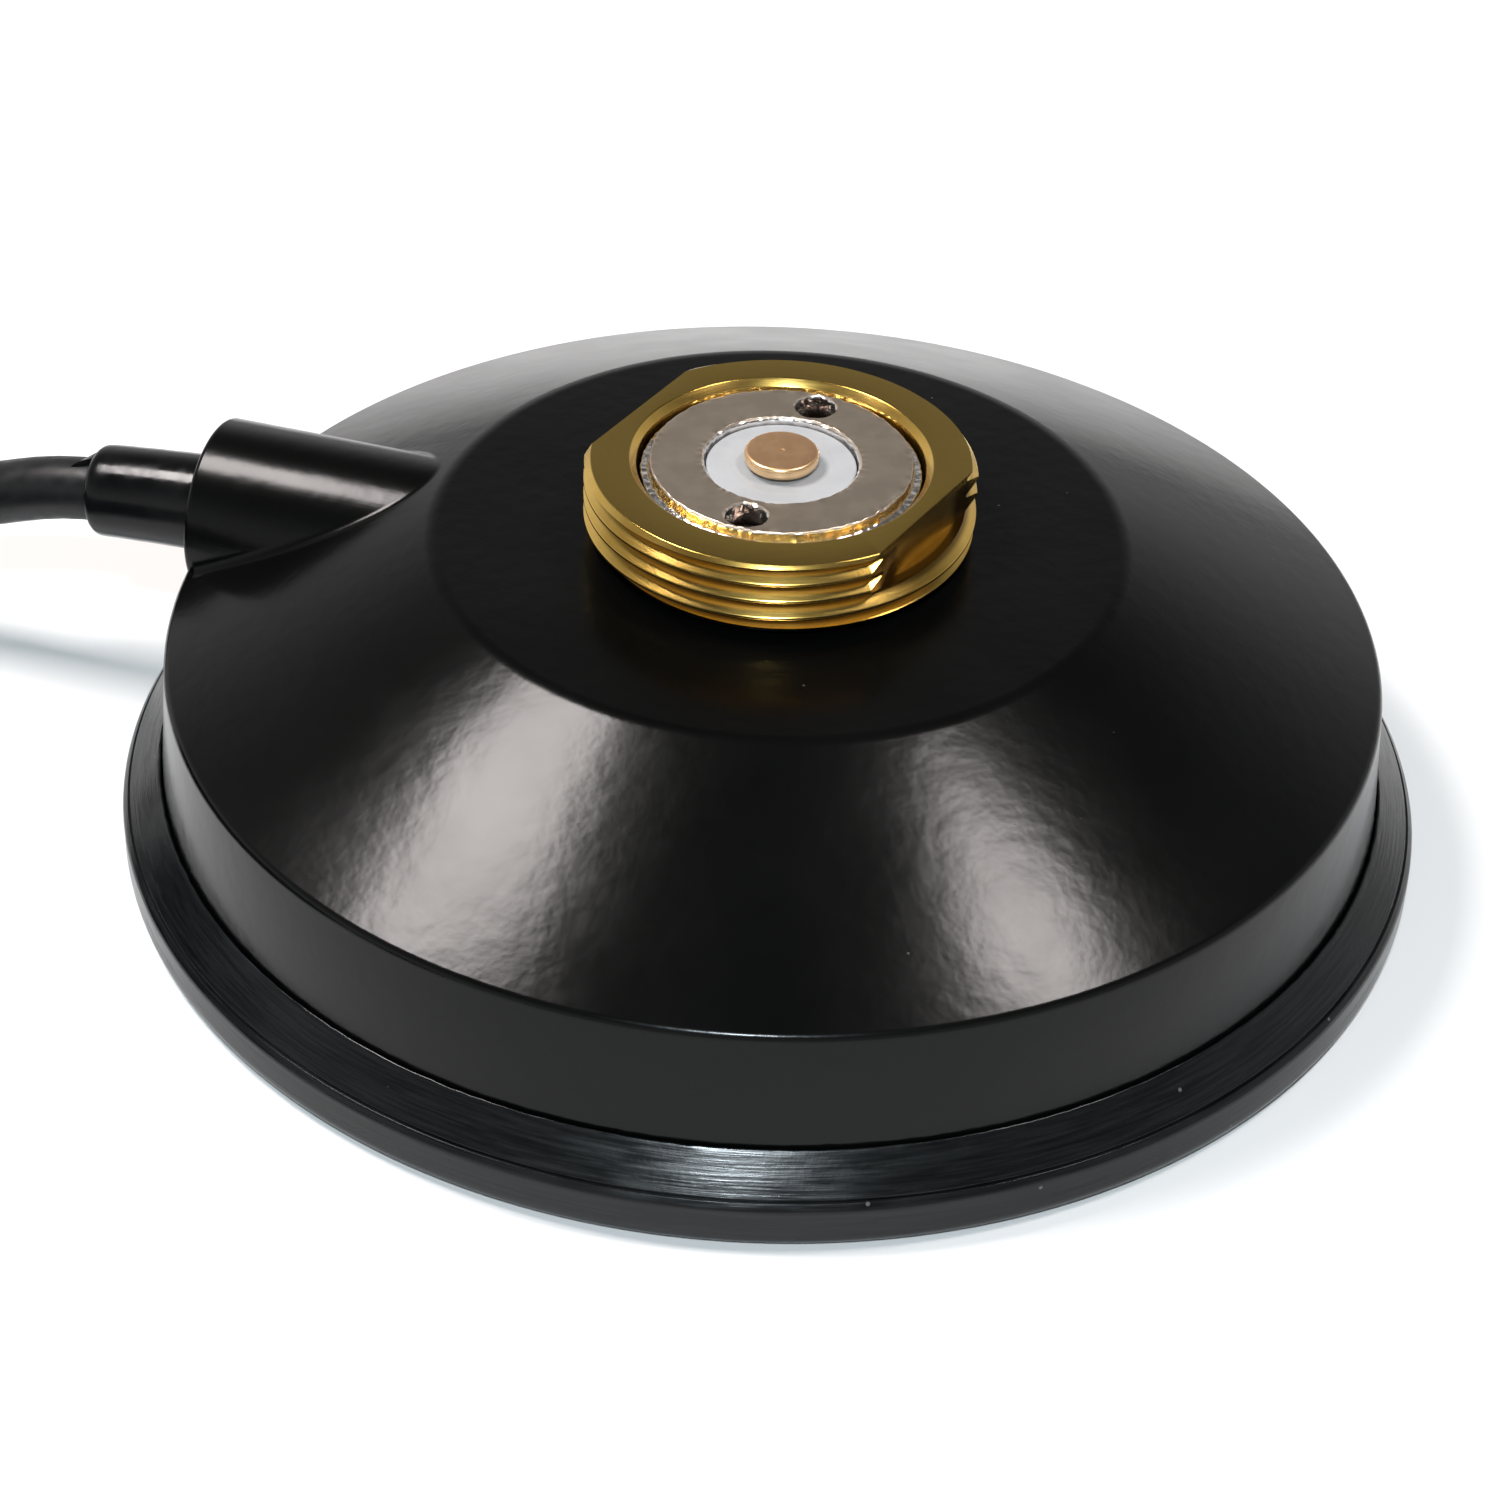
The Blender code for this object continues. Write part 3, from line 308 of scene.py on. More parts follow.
def aim_camera():
    """The photograph's viewpoint, from how the flat top's middle lies in its view."""
    right = Vector((1.0, 0.0, 0.0))
    back = Vector((0.0, -math.cos(VIEW_ELEVATION), math.sin(VIEW_ELEVATION)))
    up = back.cross(right)
    spot = back * VIEW_DISTANCE - right * VIEW_RIGHT - up * VIEW_UP + UP * TOP_Z
    across = right * math.cos(VIEW_ROLL) + up * math.sin(VIEW_ROLL)
    above = up * math.cos(VIEW_ROLL) - right * math.sin(VIEW_ROLL)
    camera = add("camera", bpy.data.cameras.new("camera"))
    turn = Matrix((across, above, back)).transposed().to_4x4()
    camera.matrix_world = Matrix.Translation(spot) @ turn
    camera.data.sensor_width = SENSOR
    camera.data.lens = FOCAL_LENGTH
    camera.data.clip_start = CLIP_START
    camera.data.clip_end = CLIP_END
    bpy.context.scene.camera = camera


def smooth_curve(route):
    """The smooth curve through a route's points, as closely spaced points."""
    ends = [2 * route[0] - route[1], *route, 2 * route[-1] - route[-2]]
    fine = []
    for a, b, c, d in zip(ends, ends[1:], ends[2:], ends[3:]):
        for step in range(CURVE_STEPS):
            t = step / CURVE_STEPS
            bend = (2 * a - 5 * b + 4 * c - d) * t**2
            twist = (3 * b - a - 3 * c + d) * t**3
            fine.append(0.5 * (2 * b + (c - a) * t + bend + twist))
    fine.append(route[-1])
    return fine


def evenly(fine, spacing):
    """Points about a spacing apart along a curve of closely spaced points."""
    reaches = [0.0, *accumulate((b - a).length for a, b in zip(fine, fine[1:]))]
    count = round(reaches[-1] / spacing)
    points = []
    for step in range(count + 1):
        distance = reaches[-1] * step / count
        index = min(bisect_right(reaches, distance), len(fine) - 1) - 1
        share = (distance - reaches[index]) / (reaches[index + 1] - reaches[index])
        points.append(fine[index].lerp(fine[index + 1], share))
    return points


def ease(share):
    return share * share * (3 - 2 * share)


def coil_points():
    """The coil's centreline: rows that wind in and out by turns, with a rise between two rows."""
    inward = (INNER_TURN_R - OUTER_TURN_R) / ROW_TURNS
    points = []
    radius = OUTER_TURN_R
    angle = math.pi / 2
    level = COIL_Z
    for turns, growth, rise in (
        (ROW_TURNS, inward, 0.0),
        (INNER_RISE, 0.0, ROW_HEIGHT),
        (ROW_TURNS, -inward, 0.0),
        (OUTER_RISE, 0.0, ROW_HEIGHT),
        (ROW_TURNS, inward, 0.0),
        (INNER_RISE, 0.0, ROW_HEIGHT),
        (LAST_ROW_TURNS, -inward, 0.0),
    ):
        count = round(turns * TURN_POINTS)
        for step in range(count):
            share = step / count
            turned = turns * share
            height = level + rise * ease(share)
            points.append((radius + growth * turned, angle + math.tau * turned, height))
        radius += growth * turns
        angle += math.tau * turns
        level += rise
    points.append((radius, angle, level))
    return [
        Vector((COIL_X + r * math.cos(a), COIL_Y + r * math.sin(a), z)) for r, a, z in points
    ]


def cable_points():
    """The whole cable's centreline, from inside the boss through the coil to the plug."""
    reaches = (LEAD_SPLIT, BOSS_END - 2 * CABLE_R, BOSS_END)
    starts = [OUTWARD * reach + UP * BOSS_Z for reach in reaches]
    run = [Vector(point) * MM for point in RUN_POINTS]
    end = [Vector(point) * MM for point in END_POINTS]
    turns = coil_points()
    first = smooth_curve([*starts, *run, turns[0]])
    last = smooth_curve([turns[-2], turns[-1], *end])
    after = [point for point in last if point.y < turns[-1].y]
    return [*evenly(first, CABLE_SPACING)[:-1], *turns, *evenly(after, CABLE_SPACING)]


def make_cable(material):
    points = cable_points()
    curve = bpy.data.curves.new("cable", "CURVE")
    curve.dimensions = "3D"
    curve.bevel_depth = CABLE_R
    curve.bevel_resolution = CABLE_BEVEL
    curve.use_fill_caps = True
    spline = curve.splines.new("POLY")
    spline.points.add(len(points) - 1)
    for spot, point in zip(spline.points, points):
        spot.co = (*point, 1.0)
    spline.use_smooth = True
    form = add("cable_form", curve)
    mesh = shown_mesh(form)
    bpy.data.objects.remove(form)
    mesh.materials.append(material)
    made = add("cable", mesh)
    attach(made, "mount")
    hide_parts("cable_run", "cable_coil", "cable_end")
    return made, points


def rounded(corners):
    """Points of a profile whose corners (r, z, radius) are rounded by arcs."""
    points = []
    for index, corner in enumerate(corners):
        here = Vector(corner[:2])
        radius = corner[2] if len(corner) > 2 else 0.0
        if radius <= 0.0:
            points.append(here)
            continue
        before = Vector(corners[index - 1][:2]) - here
        after = Vector(corners[(index + 1) % len(corners)][:2]) - here
        half = before.angle(after) / 2
        longest = EDGE_SHARE * min(before.length, after.length)
        reach = min(radius / math.tan(half), longest)
        radius = reach * math.tan(half)
        before.normalize()
        after.normalize()
        centre = here + (before + after).normalized() * radius / math.sin(half)
        first = here + before * reach - centre
        last = here + after * reach - centre
        turn = first.angle_signed(last)
        for step in range(ARC_STEPS + 1):
            points.append(centre + Matrix.Rotation(-turn * step / ARC_STEPS, 2) @ first)
    return points


def finer(points, spacing):
    """A profile's points with more of them along its stretches, but for the longest, flat ones."""
    made = []
    for a, b in zip(points, points[1:]):
        length = (b - a).length
        count = max(1, round(length / spacing)) if length < FLAT_STRETCH else 1
        made.extend(a.lerp(b, step / count) for step in range(count))
    return [*made, points[-1]]


def circle(steps):
    """Points round a circle of radius 1."""
    angles = [math.tau * step / steps for step in range(steps)]
    return [(math.cos(angle), math.sin(angle)) for angle in angles]


def bridge(bm, first, second):
    """Faces from one closed ring of vertices to the next, either of which may be a point."""
    for index in range(len(first)):
        after = (index + 1) % len(first)
        bm.faces.new(dict.fromkeys((first[index], first[after], second[after], second[index])))


def turned_mesh(corners, steps, spacing=0.0):
    """A body turned about Z from a profile, closed or ending on the axis."""
    points = rounded(corners)
    if spacing > 0.0:
        points = finer(points, spacing)
    bm = bmesh.new()
    spokes = circle(steps)
    rings = []
    for r, z in points:
        if r > 0.0:
            rings.append([bm.verts.new((r * x, r * y, z)) for x, y in spokes])
        else:
            rings.append([bm.verts.new((0.0, 0.0, z))] * steps)
    if points[0].x > 0.0 or points[-1].x > 0.0:
        rings.append(rings[0])
    for first, second in zip(rings, rings[1:]):
        bridge(bm, first, second)
    return bm


def rod_mesh(radius, low, high, steps, end_round=0.0):
    """A rod along Z, whose far end may be rounded."""
    corners = [(0.0, low), (radius, low), (radius, high, end_round), (0.0, high)]
    return turned_mesh(corners, steps)


def box_mesh(size, middle, turn, bevel=0.0):
    """A box of a size, bevelled, turned about Z and placed."""
    bm = bmesh.new()
    bmesh.ops.create_cube(bm, size=1.0)
    bmesh.ops.scale(bm, vec=size, verts=bm.verts)
    if bevel > 0.0:
        bmesh.ops.bevel(bm, geom=bm.edges, offset=bevel, segments=4, profile=0.5, affect="EDGES")
    bm.transform(Matrix.Translation(middle) @ Matrix.Rotation(turn, 4, "Z"))
    return bm


def shaped(name, bm):
    """An object from a bmesh, shaded smooth below a sharp angle."""
    bmesh.ops.recalc_face_normals(bm, faces=bm.faces)
    mesh = bpy.data.meshes.new(name)
    bm.to_mesh(mesh)
    bm.free()
    mesh.shade_smooth()
    mesh.set_sharp_from_angle(angle=math.radians(SHARP_ANGLE))
    return add(name, mesh)


def carve(piece, bm, operation="DIFFERENCE"):
    """Cut a mesh out of a piece, or join it on, and keep the result as the piece's mesh."""
    tool = shaped("tool", bm)
    modifier = piece.modifiers.new("carve", "BOOLEAN")
    modifier.operation = operation
    modifier.object = tool
    weld = piece.modifiers.new("weld", "WELD")
    weld.merge_threshold = WELD
    mesh = shown_mesh(piece)
    piece.modifiers.clear()
    piece.data = mesh
    bpy.data.objects.remove(tool)


def widen(vert, factor):
    """Move a vertex away from the axis, or towards it."""
    vert.co.x *= factor
    vert.co.y *= factor


def finish_piece(piece, material, node, body="mount", sharp=SHARP_ANGLE):
    """Give a piece its material, let it stand for a CAD node and ride on a body."""
    piece.data.materials.clear()
    piece.data.materials.append(material)
    for face in piece.data.polygons:
        face.material_index = 0
    piece.data.shade_smooth()
    piece.data.set_sharp_from_angle(angle=math.radians(sharp))
    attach(piece, body)
    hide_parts(node)
    return piece


def wobble(place, scale, seed):
    """Smooth noise from -1 to 1 at a place, at a scale in waves per metre."""
    return noise.noise(Vector(place) * scale + Vector((seed, 0.0, 0.0)))


def axis_matrix(spot, direction):
    return Matrix.Translation(spot) @ direction.to_track_quat("Z", "Y").to_matrix().to_4x4()


def boss_rod(*shape):
    """A rod along the boss's axis."""
    rod = rod_mesh(*shape)
    rod.transform(axis_matrix(UP * BOSS_Z, OUTWARD))
    return rod


def cone_height(spot):
    """How far a spot stands off the housing's cone."""
    level = TOP_Z - (math.hypot(spot.x, spot.y) - TOP_R) * SLOPE
    return (spot.z - level) / math.hypot(1.0, SLOPE)


def fillet_mesh():
    """The rounding between the boss and the cone: a thin strip whose section is an arc that
    touches both, closed underneath."""
    side = UP.cross(OUTWARD)
    bm = bmesh.new()
    loops = []
    for step in range(-FILLET_STEPS, FILLET_STEPS + 1):
        angle = FILLET_REACH * step / FILLET_STEPS
        away = UP * math.cos(angle) + side * math.sin(angle)
        base = UP * BOSS_Z + away * (BOSS_R + FILLET_R)
        low = BOSS_START - BOSS_R
        high = SKIRT_R
        for _ in range(BISECTIONS):
            middle = (low + high) / 2
            if cone_height(base + OUTWARD * middle) < FILLET_R:
                low = middle
            else:
                high = middle
        if low > BOSS_END - BOSS_ROUND:
            continue
        centre = base + OUTWARD * low
        flat = Vector((centre.x, centre.y, 0.0)).normalized()
        cone_normal = (flat * SLOPE + UP).normalized()
        section = []
        for share in range(FILLET_ARC + 1):
            normal = away.slerp(cone_normal, share / FILLET_ARC)
            section.append(centre - normal * FILLET_R)
        section.append(section[-1] - cone_normal * FILLET_SINK)
        section.append(centre - (away + cone_normal) * (FILLET_R + FILLET_SINK))
        section.append(section[0] - away * FILLET_SINK)
        loops.append([bm.verts.new(point) for point in section])
    for first, second in zip(loops, loops[1:]):
        bridge(bm, first, second)
    bm.faces.new(loops[0])
    bm.faces.new(loops[-1][::-1])
    return bm


def make_housing(material):
    """The cast shell with its boss, the rounding between them and the cable's bores."""
    drop = WALL * math.hypot(1.0, SLOPE)
    inner_r = SHOULDER_R - WALL
    profile = [
        (NUT_BORE_R, TOP_Z),
        (TOP_R, TOP_Z, TOP_ROUND),
        (SHOULDER_R, SHOULDER_Z, SHOULDER_ROUND),
        (SKIRT_R, RIM_Z, RIM_ROUND),
        (SKIRT_R - WALL, RIM_Z),
        (inner_r, TOP_Z - (inner_r - TOP_R) * SLOPE - drop),
        (TOP_R + (TOP_WALL - drop) / SLOPE, TOP_Z - TOP_WALL),
        (NUT_BORE_R, TOP_Z - TOP_WALL),
    ]
    housing = shaped("housing_shell", turned_mesh(profile, HOUSING_STEPS))
    carve(housing, boss_rod(BOSS_R, BOSS_START, BOSS_END, MEDIUM_STEPS, BOSS_ROUND), "UNION")
    carve(housing, fillet_mesh(), "UNION")
    bore_start = BOSS_END - SLEEVE_DEPTH
    carve(housing, boss_rod(SLEEVE_R + BORE_GAP, bore_start, SKIRT_R + WALL, SMALL_STEPS))
    carve(housing, boss_rod(CABLE_R + GAP, BOSS_START - WALL, bore_start + GAP, SMALL_STEPS))
    finish_piece(housing, material, "housing")


def skirt_radius(z):
    return SHOULDER_R + (SKIRT_R - SHOULDER_R) * (SHOULDER_Z - z) / (SHOULDER_Z - RIM_Z)


def make_boot(material):
    """The boot, with a ragged lip, fine moulding lines and one small nick in its outer edge."""
    lip_r = skirt_radius(LIP_Z) + LIP_GAP
    slope = (LIP_Z - BOOT_EDGE_Z) / (BOOT_R - lip_r)
    band_z = LIP_Z - (BAND_R - lip_r) * slope
    profile = [
        (0.0, 0.0),
        (BOOT_R - BOOT_SLACK, 0.0, BOOT_ROUND),
        (BOOT_R - BOOT_SLACK, BOOT_EDGE_Z, BOOT_ROUND / 2),
        (BAND_R + 2 * BAND_LINE, band_z - 2 * BAND_LINE, BAND_LINE / 2),
        (BAND_R, band_z - 2 * BAND_LINE),
        (BAND_R, band_z, BAND_LINE / 2),
        (lip_r, LIP_Z, LIP_ROUND),
        (skirt_radius(BOOT_FLOOR) + LIP_GAP, BOOT_FLOOR),
        (0.0, BOOT_FLOOR),
    ]
    bm = turned_mesh(profile, BOOT_STEPS, 0.25 * MM)
    for vert in bm.verts:
        radius = math.hypot(vert.co.x, vert.co.y)
        if radius < lip_r - MM or vert.co.z < MM:
            continue
        around = Vector((vert.co.x, vert.co.y, 0.0)) / radius
        line = wobble((radius, vert.co.z, 0.0), 2600.0, 3.0)
        slow = wobble((around.x, around.y, vert.co.z * 300), 3.0, 9.0)
        push = LINE_DEPTH * line * (1 + slow) + SWELL * slow
        if radius < lip_r + LIP_BAND and vert.co.z > LIP_Z - LIP_BAND_DEPTH:
            rag = wobble(around, 42.0, 5.0) + 0.6 * wobble(around, 120.0, 6.0)
            push += LIP_RAG * rag
            vert.co.z += LIP_RAG * wobble(around, 60.0, 7.0)
        vert.co += around * push
        away = abs(math.remainder(math.atan2(around.y, around.x) - NICK_AZIMUTH, math.tau))
        if away < NICK_WIDTH and radius > BOOT_R - BOOT_ROUND / 2:
            vert.co -= around * NICK_DEPTH * (1 - away / NICK_WIDTH)
    finish_piece(shaped("boot", bm), material, "rubber_boot", sharp=50.0)


def thread_mesh(radius, pitch, depth, low, high, steps, rows, phase=0.0):
    """A closed rod with a true helical thread, whose rows follow the helix."""
    bm = bmesh.new()
    grid = []
    for turn in range(math.ceil((high - low) / pitch) + 2):
        for share, sink in rows:
            spoke = radius - depth * sink
            ring = []
            for step, (x, y) in enumerate(circle(steps)):
                z = low + pitch * (turn - 1.0 + share + phase + step / steps)
                ring.append(bm.verts.new((spoke * x, spoke * y, z)))
            grid.append(ring)
    count = len(rows)
    for lower, upper in zip(grid, grid[1:]):
        for step in range(steps - 1):
            bm.faces.new((lower[step], lower[step + 1], upper[step + 1], upper[step]))
    for row in range(len(grid) - 1 - count):
        next_turn = row + count
        bm.faces.new((grid[row][-1], grid[next_turn][0], grid[next_turn + 1][0], grid[row + 1][-1]))
    bottom = bm.verts.new((0.0, 0.0, low - 2 * pitch))
    top = bm.verts.new((0.0, 0.0, grid[-1][-1].co.z + pitch))
    bottom_rim = [ring[0] for ring in grid[count::-1]] + grid[0][1:] + [grid[count][0]]
    top_rim = grid[-1] + [ring[-1] for ring in grid[-2:-2 - count:-1]] + [grid[-1][0]]
    for rim, tip in ((bottom_rim, bottom), (top_rim, top)):
        for a, b in zip(rim, rim[1:]):
            bm.faces.new((a, b, tip))
    return bm


def make_nut(material):
    """The threaded ring: bored, chamfered, with two wrench flats that stop at a ledge."""
    thread = thread_mesh(
        THREAD_R, THREAD_PITCH, THREAD_DEPTH, NUT_Z, NUT_TOP, NUT_STEPS, THREAD_ROWS, THREAD_PHASE
    )
    nut = shaped("threaded_ring", thread)
    outside = THREAD_R + THREAD_DEPTH
    chamfer_r = THREAD_R - NUT_CHAMFER
    profile = [
        (NUT_BORE_R, NUT_Z, 0.15 * MM),
        (THREAD_R - THREAD_DEPTH / 2, NUT_Z, 0.1 * MM),
        (outside, NUT_Z + THREAD_DEPTH),
        (outside, NUT_TOP - (outside - chamfer_r)),
        (chamfer_r, NUT_TOP, 0.1 * MM),
        (NUT_BORE_R + NUT_CHAMFER, NUT_TOP, 0.12 * MM),
        (NUT_BORE_R, NUT_TOP - NUT_CHAMFER, 0.12 * MM),
    ]
    carve(nut, turned_mesh(profile, NUT_STEPS), "INTERSECT")
    away = FLAT_DISTANCE + THREAD_R / 2
    for azimuth in (FLAT_AZIMUTH, FLAT_AZIMUTH + math.pi):
        middle = Vector((away * math.cos(azimuth), away * math.sin(azimuth), LEDGE_Z + THREAD_R / 2))
        carve(nut, box_mesh((THREAD_R, 3 * THREAD_R, THREAD_R), middle, azimuth))
    finish_piece(nut, material, "ring_nut", sharp=24.0)


def spanner_hole_mesh(seed):
    """A hole for the spanner's pin, worn wider at its mouth, with an uneven wall."""
    low = BODY_TOP - SPANNER_HOLE_DEPTH
    high = BODY_TOP + SPANNER_HOLE_DEPTH
    mouth_r = SPANNER_HOLE_R + SPANNER_WEAR
    profile = [
        (0.0, low),
        (SPANNER_HOLE_R, low + 0.5 * MM),
        (SPANNER_HOLE_R, BODY_TOP - 0.18 * MM),
        (mouth_r, BODY_TOP - 0.02 * MM),
        (mouth_r, high),
        (0.0, high),
    ]
    hole = turned_mesh(profile, HOLE_STEPS, 0.2 * MM)
    for vert in hole.verts:
        if vert.co.z < BODY_TOP:
            widen(vert, 1 + SPANNER_SWELL * wobble(vert.co, 1900.0, 11.0 + seed))
    return hole


def make_connector_body(material):
    """The plated body, its rims roughened as the plating runs over the tool marks."""
    shoulder = INSULATOR_TOP - INSULATOR_HEIGHT - GAP
    hole_r = INSULATOR_R + BORE_GAP
    face_r = BODY_TOP_R - RIM_WIDTH
    face_bore_r = hole_r + HOLE_CHAMFER + RIM_WIDTH
    profile = [
        (0.0, CUP_BOTTOM),
        (CUP_R, CUP_BOTTOM, 0.5 * MM),
        (CUP_R, FLANGE_TOP - FLANGE_THICK),
        (FLANGE_R, FLANGE_TOP - FLANGE_THICK, 0.15 * MM),
        (FLANGE_R, FLANGE_TOP, 0.15 * MM),
        (BODY_R, FLANGE_TOP),
        (BODY_R, BODY_TOP - BODY_STEP, 0.14 * MM),
        (BODY_TOP_R + STEP_FLARE, BODY_TOP - BODY_STEP, 0.1 * MM),
        (BODY_TOP_R, BODY_TOP, 0.16 * MM),
        (face_r, BODY_TOP),
        (face_r - RIM_WIDTH, BODY_TOP),
        (face_bore_r + RIM_WIDTH, BODY_TOP),
        (face_bore_r, BODY_TOP),
        (hole_r + HOLE_CHAMFER, BODY_TOP, 0.06 * MM),
        (hole_r, BODY_TOP - 0.22 * MM, 0.06 * MM),
        (hole_r, shoulder),
        (CHAMBER_R, shoulder),
        (CHAMBER_R, CUP_BOTTOM + CUP_WALL),
        (0.0, CUP_BOTTOM + CUP_WALL),
    ]
    bm = turned_mesh(profile, FINE_STEPS)
    for vert in bm.verts:
        radius = math.hypot(vert.co.x, vert.co.y)
        on_face = face_bore_r - RIM_WIDTH / 2 < radius < face_r + RIM_WIDTH / 2
        if on_face or vert.co.z < BODY_TOP - RIM_DEPTH or radius < hole_r - GAP:
            continue
        press = RIM_ROUGH * wobble(vert.co, 2100.0, 2.0) / radius
        vert.co.z += RIM_ROUGH * wobble(vert.co, 2600.0, 1.0)
        widen(vert, 1 + press)
    body = shaped("connector_rim", bm)
    barrel = boss_rod(BARREL_R, CHAMBER_R + WALL, BARREL_END, HOLE_STEPS, 0.2 * MM)
    carve(body, barrel, "UNION")
    carve(body, boss_rod(CORE_HOLE_R, CHAMBER_R / 2, BARREL_END + WALL, DRILL_STEPS))
    for side in (0, 1):
        azimuth = SPANNER_AZIMUTH + side * math.pi
        hole = spanner_hole_mesh(side)
        spot = (SPANNER_CIRCLE_R * math.cos(azimuth), SPANNER_CIRCLE_R * math.sin(azimuth), 0.0)
        hole.transform(Matrix.Translation(spot))
        carve(body, hole)
    finish_piece(body, material, "connector_body", sharp=35.0)


def make_insulator(material):
    low = INSULATOR_TOP - INSULATOR_HEIGHT
    neck_r = CHAMBER_R - GAP
    profile = [
        (STEM_R + GAP, low - INSULATOR_NECK),
        (neck_r, low - INSULATOR_NECK, 0.3 * MM),
        (neck_r, low),
        (INSULATOR_R, low),
        (INSULATOR_R, INSULATOR_TOP, 0.2 * MM),
        (CONTACT_R + MM, INSULATOR_TOP, 0.4 * MM),
        (CONTACT_R + 0.5 * MM, INSULATOR_TOP - 0.05 * MM),
        (STEM_R + GAP, INSULATOR_TOP - 0.05 * MM),
    ]
    piece = shaped("white_insulator", turned_mesh(profile, MEDIUM_STEPS))
    finish_piece(piece, material, "insulator")


def make_contact(material):
    """The contact's head, with its rounded rim and the small centre mark of the lathe."""
    head_z = INSULATOR_TOP + GAP
    profile = [
        (0.0, STEM_END),
        (STEM_R, STEM_END, 0.2 * MM),
        (STEM_R, head_z),
        (CONTACT_R - 0.15 * MM, head_z, 0.12 * MM),
        (CONTACT_R, head_z + 0.3 * MM, 0.2 * MM),
        (CONTACT_R, CONTACT_TOP, CONTACT_ROUND),
        (0.22 * MM, CONTACT_TOP, 0.08 * MM),
        (0.0, CONTACT_TOP - 0.09 * MM),
    ]
    head = shaped("contact_head", turned_mesh(profile, CONTACT_STEPS))
    finish_piece(head, material, "centre_contact")


def swept_mesh(points, outers, inners, steps):
    """A sleeve along points, with its own outer and inner radius at each."""
    bm = bmesh.new()
    outside = []
    inside = []
    for index, point in enumerate(points):
        along = points[min(index + 1, len(points) - 1)] - points[max(index - 1, 0)]
        turn = along.to_track_quat("Z", "Y")
        for radius, rings in ((outers[index], outside), (inners[index], inside)):
            spokes = [turn @ Vector((radius * x, radius * y, 0.0)) for x, y in circle(steps)]
            rings.append([bm.verts.new(point + spoke) for spoke in spokes])
    loop = outside + inside[::-1]
    for first, second in zip(loop, loop[1:] + loop[:1]):
        bridge(bm, first, second)
    return bm


def make_strain_relief(material, line):
    """The sleeve round the cable's start, tapered a little, with a rounded end."""
    mouth = BOSS_END - LEAD_SPLIT
    tip = mouth + SLEEVE_OUT
    start = BOSS_END - SLEEVE_DEPTH + GAP
    spots = [OUTWARD * reach + UP * BOSS_Z for reach in (start, (start + LEAD_SPLIT) / 2)]
    outers = [SLEEVE_R, SLEEVE_R]
    steady = evenly(line, SLEEVE_SPACING)
    reached = 0.0
    for before, point in zip(steady, steady[1:]):
        farther = reached + (point - before).length
        if farther >= tip - SLEEVE_ROUND:
            break
        reached = farther
        share = max(0.0, (reached - mouth) / SLEEVE_OUT)
        spots.append(point)
        outers.append(SLEEVE_R + (SLEEVE_TIP_R - SLEEVE_R) * share)
    inners = [CABLE_R + GAP / 2] * len(spots)
    last = spots[-1]
    direction = (last - spots[-2]).normalized()
    for step in range(1, ARC_STEPS + 1):
        angle = math.pi / 2 * step / ARC_STEPS
        along = tip - SLEEVE_ROUND * (1 - math.sin(angle)) - reached
        spots.append(last + direction * along)
        outers.append(SLEEVE_TIP_R - SLEEVE_ROUND * (1 - math.cos(angle)) * SLEEVE_LIP)
        inners.append(CABLE_R + GAP / 10)
    sleeve = shaped("strain_sleeve", swept_mesh(spots, outers, inners, HOLE_STEPS))
    return finish_piece(sleeve, material, "strain_relief")


def make_tie(number, material):
    """A strap round the coil with a grooved face, its locking head and its cut tail."""
    outer_x = COIL_R + TIE_SIDE_GAP
    outer_z = COIL_TOP + GAP
    outlines = []
    for thick in (0.0, TIE_THICK):
        low_x = COIL_BORE_R - TIE_SIDE_GAP - thick
        high_x = outer_x + thick
        low_z = TIE_THICK - thick
        high_z = outer_z + thick
        corners = ((low_x, low_z), (high_x, low_z), (high_x, high_z), (low_x, high_z))
        outlines.append(rounded([(x, z, TIE_ROUND + thick) for x, z in corners]))
    inside, outside = outlines
    groove = [a.lerp(b, TIE_GROOVE) for a, b in zip(inside, outside)]
    half = (
        (inside, TIE_RIM),
        (outside, TIE_RIM / 2),
        (outside, 2 * TIE_RIM),
        (groove, 3 * TIE_RIM),
    )
    sides = [(outline, inset - TIE_WIDTH / 2) for outline, inset in half]
    sides += [(outline, TIE_WIDTH / 2 - inset) for outline, inset in reversed(half)]
    bm = bmesh.new()
    rings = [[bm.verts.new((point.x, y, point.y)) for point in outline] for outline, y in sides]
    for first, second in zip(rings, rings[1:] + rings[:1]):
        bridge(bm, first, second)
    strap = shaped(f"cable_strap_{number}", bm)
    head_at = Vector((outer_x + GAP + TIE_HEAD[0] / 2, 0.0, (TIE_THICK + outer_z) / 2))
    slot_at = head_at + Vector((TIE_SLOT_SHIFT, 0.0, 0.0))
    bridge_at = slot_at - Vector((TIE_BRIDGE_SHIFT, 0.0, 0.0))
    carve(strap, box_mesh(TIE_HEAD, head_at, 0.0, TIE_HEAD_ROUND), "UNION")
    carve(strap, box_mesh(TIE_SLOT, slot_at, 0.0))
    carve(strap, box_mesh(TIE_TAIL, slot_at + UP * TIE_TAIL_LIFT, 0.0, 0.2 * MM), "UNION")
    carve(strap, box_mesh(TIE_BRIDGE, bridge_at, 0.0, 0.2 * MM), "UNION")
    turn = Matrix.Rotation(TIE_AZIMUTHS[number - 1], 4, "Z")
    strap.data.transform(Matrix.Translation((COIL_X, COIL_Y, 0.0)) @ turn)
    return finish_piece(strap, material, f"cable_tie_{number}")


